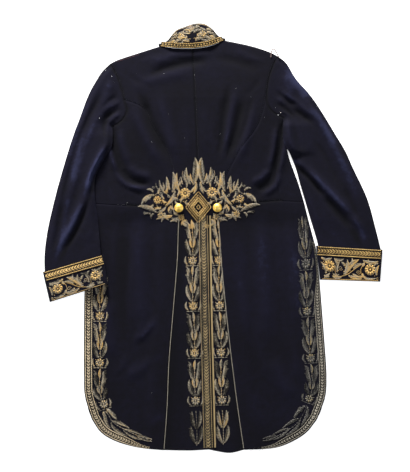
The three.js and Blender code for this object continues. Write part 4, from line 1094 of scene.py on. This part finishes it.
def flower(bm, at, radius, petals=8, tone=1.0):
    """A flower of padded petals round a knot, with a bead between each two petals."""
    at = np.array(at, float)
    for petal in range(petals):
        angle = 2 * math.pi * petal / petals + 0.2
        way = np.array([math.cos(angle), math.sin(angle)])
        between = np.array([math.cos(angle + math.pi / petals), math.sin(angle + math.pi / petals)])
        for out, foot, tip, width, height, shade in (
                (way, 0.34, 1.0, 0.38, 1.8, 0.15 * (petal % 2)), (between, 0.3, 0.62, 0.2, 1.5, 0.3),
                (between, 0.8, 1.0, 0.16, 0.9, 0.4)):
            reach = out * radius
            stitch(bm, at + reach * foot, at + reach * tip, radius * width, height, tone - shade)
    stitch(bm, at - (radius * 0.2, 0), at + (radius * 0.2, 0), radius * 0.42, 2.2, tone - 0.1)


def tendril(bm, at, radius, start, turns, tone=0.45):
    """A curl of twisted thread that winds in from its outer end."""
    steps = max(6, round(turns * 9))
    angles = start + np.linspace(0, 2 * math.pi * turns, steps)
    reach = radius * np.linspace(1, 0.25, steps)
    stem(bm, np.column_stack([at[0] + reach * np.cos(angles), at[1] + reach * np.sin(angles)]), 1.5, tone)


def spangles(bm, places, tone=0.9):
    for x, y in places:
        stitch(bm, (x - 1.2, y), (x + 1.2, y), 2.4, 0.9, tone)


def motif(name, draw):
    """Draws a motif in its own flat millimetres, as a mesh to be laid on the cloth."""
    bm = bmesh.new()
    bm.verts.layers.float.new("tone")
    draw(bm)
    mesh = bpy.data.meshes.new(name)
    bm.to_mesh(mesh)
    bm.free()
    return mesh


def laid(name, parts, height, material):
    """Lays motifs on the cloth: rows of a mesh, its way from flat mm to the plan, and how faded it is."""
    whole = bmesh.new()
    for flat, to_plan, faded in parts:
        mesh = flat.copy()
        for mark in mesh.attributes["tone"].data:
            mark.value -= faded
        under = 0.0
        for vertex in mesh.vertices:
            x, y = to_plan(vertex.co.x, vertex.co.y)
            under = height(x, y, under)
            vertex.co = place(x, y, max(0.0, under + vertex.co.z))
        whole.from_mesh(mesh)
        bpy.data.meshes.remove(mesh)
    bmesh.ops.recalc_face_normals(whole, faces=whole.faces[:])
    tidy(name, whole, material, sharp=STITCHES)


# Wire laid side by side in long stitches. It shines more than the braid, and runs from gilt through bare
# silver to tarnish, because the gilding has rubbed off the highest stitches. The real wire is too fine to
# show, so its lines are drawn 0.95 mm apart.
def gilt_embroidery(name, stops):
    """Laid metal thread, whose stops run from its blackest tone to its brightest."""
    material, at = new_material(name)
    toned = shifted_tone(material, at, [(26.3, 5.0, 0.7, 1.5), (1.92, 3.0, 0.5, 0.5)])
    metal = add_node(material, "ShaderNodeValToRGB", {"Fac": toned}, stops)
    lines = scale_of(0.95 * 20 / (2 * math.pi))  # a wave texture has 20 / 2 pi waves to its unit
    threads = add_node(material, "ShaderNodeTexWave", {"Vector": at, "Scale": lines, "Distortion": 2.0})
    bump = add_node(material, "ShaderNodeBump",
                    {"Strength": 0.5, "Distance": 0.4 * MM, "Height": threads.outputs["Fac"]})
    shader = add_node(material, "ShaderNodeBsdfPrincipled", {
        "Base Color": metal.outputs["Color"], "Metallic": 0.65, "Roughness": 0.46,
        "Normal": bump.outputs["Normal"]})
    add_node(material, "ShaderNodeOutputMaterial", {"Surface": shader.outputs["BSDF"]})
    return material


gold_work = gilt_embroidery("gilt thread embroidery", [
    (0.0, "#15110e"), (0.25, "#4a4439"), (0.5, "#a09888"), (0.75, "#ab9266"), (1.0, "#c8a464")])
old_work = gilt_embroidery("tarnished thread embroidery", [
    (0.0, "#11100f"), (0.35, "#413f3c"), (0.7, "#73706a"), (0.9, "#857a60"), (1.0, "#948258")])


def border_block(bm):
    """One block, 117 mm long and 36 mm wide: a flower at its foot and pairs of leaves close above it."""
    stem(bm, bow((8, 0), (113, 0), 0.015, 18), 2.0, 0.7)
    flower(bm, (14, 0), 11, 9, 0.85)
    stem(bm, [(1.5, -17), (1.5, -9), (1.5, 0), (1.5, 9), (1.5, 17)], 2.0, 0.5)
    for way in (-1, 1):
        leaves(bm, [
            ((25, 2), (66, 14.5), 11.5, 0.09, 0.31 + 0.06 * way),
            ((62, 1), (107, 10), 11, 0.08, 0.37 - 0.06 * way),
            ((27, 9), (48, 17.5), 5.5, -0.22, 0.3), ((70, 11), (92, 17.5), 5.0, -0.2, 0.3),
            ((4, 12), (24, 17), 5.5, 0.2, 0.5), ((46, 1), (74, 4), 6.0, 0.1, 0.75),
            ((97, 7), (112, 16), 5, -0.15, 0.3),
        ], way)
        tendril(bm, (60, 15 * way), 3.2, 0.5 if way > 0 else -2.0, 0.9, 0.5)
        tendril(bm, (104, 15 * way), 3.0, 2.2 if way > 0 else -0.6, 0.9, 0.5)
    feather(bm, (92, 0), (115, -1), 7, 0.05, 0.75)
    spangles(bm, [(38, 0), (54, -16), (54, 16), (84, 0), (22, -10), (22, 10)])


def border_end(bm):
    """The last 135 mm of a border: leaves without a flower, that grow smaller towards a point."""
    stem(bm, bow((8, 0), (133, 0), 0.015, 18), 1.8, 0.6)
    for way in (-1, 1):
        leaves(bm, [
            ((132, 3), (88, 13), 10, -0.08, 0.55), ((98, 2), (52, 10), 8.5, -0.08, 0.5),
            ((62, 1), (24, 6), 6, -0.08, 0.45), ((32, 1), (3, 2.5), 4, -0.08, 0.45),
            ((128, 9), (112, 17), 5, 0.12, 0.4), ((90, 8), (76, 14), 4.5, 0.12, 0.4),
        ], way)


def sprig(bm):
    """Two pairs of leaves without a flower, 92 mm long, for the foot of the vent's borders."""
    stem(bm, bow((2, 0), (90, 0), 0.015, 14), 1.8, 0.6)
    for way in (-1, 1):
        leaves(bm, [
            ((6, 1), (50, 13), 11, 0.09, 0.36), ((44, 1), (88, 10), 10.5, 0.08, 0.42),
            ((30, 10), (46, 17), 5, -0.2, 0.3), ((70, 9), (84, 15), 5, -0.2, 0.3),
        ], way)


NARROW = 22  # a border is squeezed where its middle is nearer than this to the edge


def along_strip(line, start, insets, mirror=1):
    """The way from a block's length and width to the plan, beside a line, from a distance along it."""
    length = run_of(line)
    ahead = heading(line)

    def to_plan(s, t):
        at = start - s
        x, y, ax, ay = (np.interp(at, length, column) for column in (*line.T, *ahead.T))
        inset = np.interp(at, *insets)
        across = inset + t * mirror * min(1, abs(inset) / NARROW)
        return x - ay * across, y + ax * across

    return to_plan


def distance_at(line, y):
    """The length along a line that runs down the coat, where it first comes to y."""
    return run_of(line)[np.argmax(line[:, 1] < y)]


block = motif("border block", border_block)
tip = motif("border end", border_end)
# for each skirt: the height at which the first block starts, how far each one has faded, how far the first
# one is stretched, the length of the pointed end, and how far the strip's middle lies from the edge at
# distances along it
SKIRT_BORDERS = {
    "left": {"first": -94, "faded": (0.0, 0.05, 0.2), "stretch": 1.0, "end": 188,
             "inset": ((0, 560, 640, 735), (40, 40, 34, 20)), "thread": gold_work, "slot": "gold_braid"},
    "right": {"first": 58, "faded": (0.1, 0.0, 0.0, 0.05), "stretch": 1.2, "end": 190,
              "inset": ((0, 40, 130, 240, 560, 640, 745), (-13, -14, -28, -37, -37, -32, -20)),
              "thread": old_work, "slot": "tarnished_braid"},
}
for side, border in SKIRT_BORDERS.items():
    line = edge((f"skirt_edge_{side}", 320), (f"hem_{side}", 200))
    start = distance_at(line, border["first"])
    parts = []
    end = start
    for index, faded in enumerate(border["faded"]):
        stretch = 1.0 if index else border["stretch"]
        end = end + BLOCK * stretch
        run = along_strip(line, end - 2, border["inset"], 1 if index % 2 else -1)
        parts.append((block, lambda s, t, run=run, stretch=stretch: run(s * stretch, t), faded))
    run = along_strip(line, end + border["end"], border["inset"])
    parts.append((tip, lambda s, t: run(s * border["end"] / TIP_LENGTH, t), 0.1))
    laid(f"skirt_embroidery_{side}", parts, resting_on(f"skirt_{side}_cloth"), border["thread"])

vent_full = edge(("vent", 320))
foot_sprig = motif("sprig", sprig)
VENT_FOOT = -519  # the height at which the sprig starts
# the height at which each block starts, and how far it has faded
VENT_BLOCKS = [(-70, 0.0), (-183, 0.05), (-300, 0.1), (-418, 0.12)]
for side, inset in (("left", -41.5), ("right", 24.5)):
    insets = ((0, 600), (inset, inset))
    parts = [(block, along_strip(vent_full, distance_at(vent_full, y), insets, (-1) ** index), faded)
             for index, (y, faded) in enumerate(VENT_BLOCKS)]
    parts.append((foot_sprig, along_strip(vent_full, distance_at(vent_full, VENT_FOOT), insets),
                  0.2 if side == "left" else 0))
    laid(f"vent_embroidery_{side}", parts, resting_on(f"back_{side}_cloth"), gold_work)


# ---- The waist spray ----
# A fan of leaves and flowers over the hip buttons and the top of the vent, worked like the borders. The two
# halves mirror each other across the centre back; the right one is set a little higher, stretched outwards by
# 2% and tilted.
# rows of a leaf's foot, out and up from the waist's middle, its tip, width, bend and tone
SPRAY_LEAVES = [
    ((14, 56), (8, 124), 18, 0.07, 0.42), ((19, 58), (30, 99), 11, -0.14, 0.4),
    ((6, 66), (12, 36), 8, -0.1, 0.75), ((22, 60), (36, 84), 6, -0.2, 0.35),
    ((66, 38), (63, 88), 12, 0.1, 0.5), ((46, 40), (54, 86), 11, -0.12, 0.65),
    ((80, 38), (79, 76), 9, 0.06, 0.6), ((82, 36), (97, 68), 7, -0.12, 0.4),
    ((108, 32), (142, 7), 11, 0.16, 0.5), ((112, 38), (128, 46), 6, 0.2, 0.35),
    ((58, 44), (82, 6), 10, -0.12, 0.6), ((104, -12), (150, 4), 12, 0.1, 0.5),
    ((110, -14), (118, -26), 6, 0.2, 0.4), ((88, -20), (66, -19), 9, 0.12, 0.7),
    ((84, -10), (74, -30), 7, 0.15, 0.5), ((98, -8), (82, 2), 7, 0.15, 0.45),
    ((44, -20), (62, -8), 7, -0.16, 0.5), ((40, -30), (26, -46), 7, 0.18, 0.6),
    ((46, -34), (58, -30), 6, 0.2, 0.45), ((30, 30), (44, 14), 6, 0.2, 0.6),
    ((22, 40), (13, 50), 6, 0.2, 0.6), ((98, 46), (106, 60), 5, -0.2, 0.35),
    ((120, 20), (134, 26), 5, 0.2, 0.35), ((70, 8), (58, -4), 6, 0.2, 0.5),
    ((12, 60), (20, 84), 6, -0.1, 0.7), ((26, 62), (24, 80), 5, 0.1, 0.4),
    ((38, 58), (42, 76), 5, -0.15, 0.4), ((56, 62), (46, 60), 4, 0.2, 0.4),
    ((90, 40), (88, 62), 6, 0.1, 0.4), ((100, 34), (96, 50), 5, -0.1, 0.5),
    ((90, 22), (80, 14), 6, 0.2, 0.7), ((112, 10), (124, 2), 6, -0.2, 0.6),
    ((92, -2), (108, -4), 6, 0.15, 0.6), ((66, 4), (74, -10), 6, 0.2, 0.7),
    ((50, 24), (66, 30), 7, -0.15, 0.6), ((34, 18), (22, 8), 6, 0.15, 0.6),
    ((46, 8), (58, 16), 6, -0.15, 0.5), ((30, -30), (42, -42), 7, 0.15, 0.7),
    ((20, -34), (10, -52), 7, -0.15, 0.6), ((52, -36), (70, -34), 6, 0.2, 0.5),
    ((118, -16), (134, -16), 5, 0.15, 0.4), ((76, -22), (92, -34), 6, 0.2, 0.5),
    ((30, 50), (34, 74), 5, 0.12, 0.5), ((50, 52), (40, 66), 5, -0.15, 0.6),
    ((16, 46), (7, 58), 5, 0.15, 0.6), ((70, 44), (74, 66), 5, -0.1, 0.4),
    ((54, 30), (48, 44), 6, 0.15, 0.7), ((84, 22), (92, 34), 5, -0.15, 0.5),
    ((118, 26), (132, 14), 5, 0.15, 0.5), ((62, -16), (50, -6), 5, 0.15, 0.6),
    ((86, -28), (104, -28), 5, 0.15, 0.5),
]
# a flower's middle, radius and petals
SPRAY_FLOWERS = [
    ((33, 37), 13.5, 10), ((102, 20), 10.5, 8), ((94, -18), 8.5, 8), ((43, -24), 8, 8), ((80, 40), 5, 6),
    ((20, -46), 6.5, 7),
]
SPRAY_STEMS = [
    ((30, 24), (60, 20), (80, 36)), ((80, 36), (92, 44), (108, 32)), ((62, 22), (84, 0), (104, -12)),
    ((58, 44), (66, 20), (60, -14)), ((104, 8), (98, -4), (94, -10)), ((36, -16), (60, -26), (86, -18)),
    ((10, 50), (14, 44), (22, 40)), ((42, 52), (48, 66), (44, 78)), ((36, 70), (40, 82), (38, 92)),
]
# a curl's middle, radius, first angle and turns
SPRAY_CURLS = [
    ((94, 34), 6, 0.4, 1.2), ((120, -4), 5.5, 2.0, 1.2), ((70, -8), 5.5, 4.0, 1.1),
    ((50, 62), 4.5, 1.0, 1.0), ((112, 52), 4, 2.6, 1.0), ((32, -34), 5, 0.8, 1.1),
    ((74, 30), 4.5, 3.4, 1.0), ((134, -12), 4, 3.9, 1.0),
]
SPRAY_SPANGLES = [
    (24, 24), (30, 18), (38, 16), (46, 20), (52, 28), (24, 12), (56, 60), (72, 60), (90, 50), (86, 10),
    (94, 2), (108, 0), (114, 6), (74, -4), (66, 4), (44, 4), (52, 10), (106, 12), (92, 12),
]


def half_spray(bm):
    leaves(bm, SPRAY_LEAVES)
    for at, radius, petals in SPRAY_FLOWERS:
        flower(bm, at, radius, petals)
    for points in SPRAY_STEMS:
        stem(bm, through(points, 12), 1.6, 0.55)
    for at, radius, start, turns in SPRAY_CURLS:
        tendril(bm, at, radius, start, turns)
    spangles(bm, SPRAY_SPANGLES)


half = motif("half of the waist spray", half_spray)
whole_back = resting_on("back_left_cloth", "back_right_cloth", "side_left_cloth", "side_right_cloth",
                        "skirt_left_cloth", "skirt_right_cloth")
laid("waist_spray", [(half, lambda u, v: (CENTRE - u, 75 + v), 0.0),
                     (half, lambda u, v: (CENTRE + 1.02 * u, 76 + v + 0.02 * u), 0.04)],
     whole_back, gold_work)

# ---- The braid diamond at the top of the vent ----
# Nested lines of gilt cord, sewn down on their point over the end of the vent. The cloth shows between them.
DIAMOND_CORNERS = np.array([(0, -39), (-32, 0), (0, 39), (32, 0), (0, -39)])
DIAMOND_MIDDLE = (CENTRE, 77)
DIAMOND_CORDS = [(1.0, 1.0), (0.8, 1.0), (0.61, 1.8), (0.43, 1.7), (0.15, 1.0)]  # each one's share and radius
CORD_MIDDLE = 0.7  # above the cloth


def diamond(scale):
    """A lozenge from its lowest point round to it again, with slightly rounded corners."""
    points = DIAMOND_MIDDLE + DIAMOND_CORNERS * scale
    return np.vstack([np.linspace(a, b, 26)[1:-1] for a, b in zip(points, points[1:])])


for index, (scale, radius) in enumerate(DIAMOND_CORDS):
    line = swept(diamond(scale), round_section(radius, 8, CORD_MIDDLE - radius), whole_back,
                 notch=lambda s, across: 0.5 * (math.sin(2 * math.pi * s / 5) > 0.4))
    tidy(f"diamond_cord_{index + 1}", line, gold_lace)

# ---- Cuff embroidery ----
# The widest band of the coat's work: a scroll of leaves between two large flowers, below the cuff's braid.


def cuff_band(bm):
    """152 mm along the cuff, from its inner end, and 54 mm down it, from the braid."""
    flower(bm, (24, 24), 14.5, 10)
    flower(bm, (128, 29), 14.5, 10)
    for foot, tip, width, bend, tone in [
        ((62, 46), (98, 6), 14, -0.1, 0.9), ((58, 44), (70, 8), 10, 0.14, 0.75),
        ((70, 44), (112, 44), 11, 0.16, 0.8), ((54, 48), (30, 48), 9, -0.14, 0.8),
        ((44, 40), (50, 14), 8, -0.18, 0.7), ((84, 30), (106, 16), 8, -0.16, 0.75),
        ((108, 6), (146, 8), 9, 0.12, 0.85), ((12, 44), (4, 16), 8, 0.16, 0.8),
        ((8, 8), (30, 5), 7, 0.14, 0.7), ((146, 44), (149, 18), 8, -0.14, 0.8),
        ((110, 48), (142, 50), 7, 0.12, 0.7), ((40, 6), (60, 6), 6, 0.15, 0.6),
        ((76, 20), (82, 4), 6, 0.18, 0.6), ((88, 50), (106, 52), 5, 0.1, 0.6),
        ((22, 50), (8, 52), 6, 0.12, 0.7), ((4, 4), (16, 8), 6, 0.1, 0.7),
        ((42, 22), (38, 6), 7, 0.15, 0.7), ((6, 48), (22, 42), 6, 0.15, 0.7),
        ((106, 22), (112, 12), 6, 0.15, 0.8), ((148, 12), (138, 18), 6, 0.15, 0.7),
        ((108, 38), (112, 48), 6, 0.1, 0.8), ((30, 42), (46, 44), 6, 0.1, 0.7),
        ((62, 24), (56, 14), 6, 0.12, 0.8), ((82, 40), (96, 46), 6, 0.1, 0.8),
    ]:
        feather(bm, foot, tip, width, bend, tone - 0.25)
    stem(bm, through([(46, 50), (70, 42), (92, 26), (110, 14)], 24), 2.2, 0.95)
    stem(bm, through([(46, 50), (38, 40), (40, 22), (52, 10)], 18), 1.8, 0.8)
    stem(bm, through([(112, 14), (104, 28), (106, 42), (118, 48)], 18), 1.8, 0.8)
    for at, radius, start, turns in [
        ((52, 28), 6, 0.5, 1.3), ((98, 38), 6, 3.0, 1.3), ((148, 50), 4, 1.0, 1.0),
        ((7, 30), 4, 4.0, 1.0), ((68, 20), 4.5, 2.0, 1.1), ((120, 8), 4, 5.0, 1.0),
    ]:
        tendril(bm, at, radius, start, turns, 0.75)
    spangles(bm, [(46, 34), (60, 36), (76, 34), (90, 44), (64, 26), (92, 12), (140, 14), (10, 14), (14, 48),
                  (140, 44)])
    stem(bm, np.linspace((2, 55.5), (150, 55.5), 50), 2.2, 0.85)


band = motif("cuff band", cuff_band)
CUFF_LENGTH = 152
for side, faded in (("left", 0.05), ("right", -0.12)):
    corner = CUFFS[side]
    down = np.linalg.norm(corner["inner_end"] - corner["inner_top"])
    margin = (CUFF_HIGH / 2) / np.linalg.norm(corner["outer_top"] - corner["inner_top"])

    def on_cuff(s, t, corner=corner, down=down, margin=margin):
        u = margin + s / CUFF_LENGTH * (1 - 2 * margin)
        v = (CUFF_BRAID + 2 + t * (down - CUFF_BRAID - 4) / 56) / down
        one = corner["inner_top"] * (1 - v) + corner["inner_end"] * v
        other = corner["outer_top"] * (1 - v) + corner["outer_end"] * v
        return one * (1 - u) + other * u

    laid(f"cuff_embroidery_{side}", [(band, on_cuff, faded)], resting_on(f"cuff_{side}_cloth"), gold_work)

# ---- Collar embroidery ----
# The collar is worked all over, with leaves that lean outwards from the centre back over a band of braid. It
# has worn through to the cloth at the middle, where it rubbed.
COLLAR_TOP = resting_on("collar_cloth")
COLLAR_LONG, COLLAR_UP = 162, 60  # the work's own measures, along the neck and up the collar
collar_foot = edge(("neck_left", 100), ("neck_right", 100))
collar_head = through(COLLAR_RIM, 201)


def on_collar(s, t):
    """From millimetres along the neck from its left end, and a share of the collar's height, to the plan."""
    place_at = np.clip(s / COLLAR_LONG, 0, 1) * (len(collar_foot) - 1)
    ends = []
    for line in (collar_foot, collar_head):
        ends.append(np.array([np.interp(place_at, np.arange(len(line)), line[:, k]) for k in (0, 1)]))
    return ends[0] * (1 - t / COLLAR_UP) + ends[1] * (t / COLLAR_UP)


def collar_work(bm):
    """162 mm along the neck and 60 units up the collar."""
    for way, centre in ((-1, 80), (1, 82)):
        for row, (up, long, wide, first, count) in enumerate((
                (19, 17, 9, 5, 5), (29, 18, 10, 9, 4), (39, 17, 9, 2, 5),
                (48, 15, 8, 1, 4))):
            for index in range(count):
                out = first + 15 * index
                lift = 4 * (-1) ** index
                feather(bm, (centre + way * out, up - lift / 2), (centre + way * (out + long), up + lift),
                        wide, 0.1 * way * (-1) ** index, 0.5 + 0.12 * (row % 2) - 0.1 * (index % 2))
        flower(bm, (centre + way * 24, 34), 8.5, 8, 1.0)
        flower(bm, (centre + way * 51, 28), 7.5, 8, 1.0)
        stem(bm, np.linspace((centre + way * 2, 24), (centre + way * 72, 24), 30), 2.0, 0.75)
        stem(bm, np.linspace((centre + way * 6, 44), (centre + way * 60, 43), 24), 2.0, 0.7)
        spangles(bm, [(centre + way * out, 33.5) for out in (12, 37, 44, 62)])
    feather(bm, (74, 40), (88, 47), 9, 0.1, 0.7)
    flower(bm, (81, 52), 6, 7, 0.75)
    stem(bm, np.linspace((18, 57.5), (144, 57.5), 52), 2.6, 0.7)


laid("collar_embroidery", [(motif("collar work", collar_work), on_collar, 0.1)], COLLAR_TOP, gold_work)
collar_band = np.array([on_collar(s, 0.8) for s in np.linspace(2, 160, 240)])
lace("collar_braid", collar_band, 0.2, 12, COLLAR_TOP, gold_lace)
# ---- Hand sewing ----
# Waxed blue-black silk: small pricked stitches, 5 mm apart, that hold the seams' turnings and the tails'
# hems. The left shoulder seam has been mended with dull red silk.


def silk(name, code):
    """Fine twisted or frayed thread: one even colour with a soft shine."""
    material, at = new_material(name)
    twist = add_node(material, "ShaderNodeTexNoise", {"Vector": at, "Scale": scale_of(0.5), "Detail": 2.0})
    bump = add_node(material, "ShaderNodeBump",
                    {"Strength": 0.3, "Distance": 0.1 * MM, "Height": twist.outputs["Fac"]})
    shader = add_node(material, "ShaderNodeBsdfPrincipled",
                      {"Base Color": colour(code), "Roughness": 0.55, "Normal": bump.outputs["Normal"]})
    add_node(material, "ShaderNodeOutputMaterial", {"Surface": shader.outputs["BSDF"]})
    return material


def stitched(name, material, rows, height):
    """Small stitches laid on the cloth: each row has a start, an end, a width and a height, in the plan."""
    bm = bmesh.new()
    bm.verts.layers.float.new("tone")
    for start, end, width, high in rows:
        before = len(bm.verts)
        stitch(bm, start, end, width, high, 0.5)
        bm.verts.ensure_lookup_table()
        middle = (np.array(start) + end) / 2
        base = height(*middle)
        for vertex in bm.verts[before:]:
            vertex.co = place(vertex.co.x, vertex.co.y, max(0.0, base + vertex.co.z))
    tidy(name, bm, material, sharp=STITCHES)


# a seam or hem and how far to its left the stitches lie
STITCHED = [
    ("armhole_left", 2.6), ("armhole_right", -2.6), ("waist_left", -2.4), ("waist_right", 2.4),
    ("side_back_left", 2.2), ("side_back_right", -2.2), ("centre_upper", 2.0), ("centre_lower", 2.0),
    ("tail_hem_left", 3.0), ("tail_hem_right", 3.0), ("shoulder_right", -2.4),
]
STITCH_STEP = 5
rows = []
for name, beside in STITCHED:
    line = through(LINES[name], max(6, round(run_of(LINES[name])[-1] / STITCH_STEP)))
    for at, way in zip(line[1:-1], heading(line)[1:-1]):
        start = at + beside * np.array([-way[1], way[0]])
        rows.append((start, start + 1.8 * way, 0.6, 0.3))
stitched("seam_stitches", silk("waxed blue-black silk", "#1b1c2b"), rows, whole_back)
mend = through([(-236, 443), (-212, 451), (-186, 459)], 15) - (0, 3)
stitched("shoulder_mend", silk("dull red silk", "#5c2a2c"), [(a, a + (2.6, 1.0), 0.8, 0.4) for a in mend],
         whole_back)

# ---- Wear ----
# Frayed linen shows at the collar's rim. Threads hang from the worn end of the right skirt's border, and
# there is white lint on the cloth.
linen = silk("bleached linen", "#bfa9a4")
random_spot = np.random.default_rng(7)
frayed = [(spot, spot + random_spot.uniform(-3.5, 3.5, 2), 1.1, 0.7)
          for spot in random_spot.normal((-52.5, 525.5), (3.4, 2.2), (40, 2))]
stitched("frayed_rim", linen, frayed, COLLAR_TOP)
LINT = [
    (-266, 418), (-249, 403), (-244, 388), (-188, 410), (-44, 406), (-108, 309), (97, 352), (-39, 320),
    (-212, 88), (60, 372), (130, 300), (158, 325), (-150, 240), (-96, 150), (-150, -386), (20, 260),
    (-120, 410), (-70, 250),
]
on_coat = resting_on("back_left_cloth", "back_right_cloth", "side_left_cloth", "side_right_cloth",
                     "skirt_left_cloth", "topsleeve_left_cloth", "topsleeve_right_cloth")
specks = []
for index, spot in enumerate(LINT):
    size = 1.9 if index < 3 else 1.1
    at = np.array(spot, float)
    specks.append((at, at + random_spot.uniform(-size, size, 2), size * 0.9, 0.5))
for spot in ((-282, 298), (164, 306), (170, 312)):
    specks.append((np.array(spot, float), np.array(spot) + (2.0, 1.2), 1.9, 0.6))
stitched("lint", silk("white cotton lint", "#e6e6ea"), specks, on_coat)
hanging = []
for x, y, turn in (
        (118, -529, 0.4), (126, -528, -0.5), (134, -527, 0.9), (143, -524, -0.2), (106, -530, 1.3)):
    thread = through([(x, y + 7), (x - 3, y + 2), (x - 6 - 3 * turn, y - 2), (x - 9, y - 3 + 2 * turn)], 9)
    hanging += [(a, b, 0.7, 0.4) for a, b in zip(thread, thread[1:])]
stitched("loose_threads", old_work, hanging, resting_on("skirt_right_cloth"))
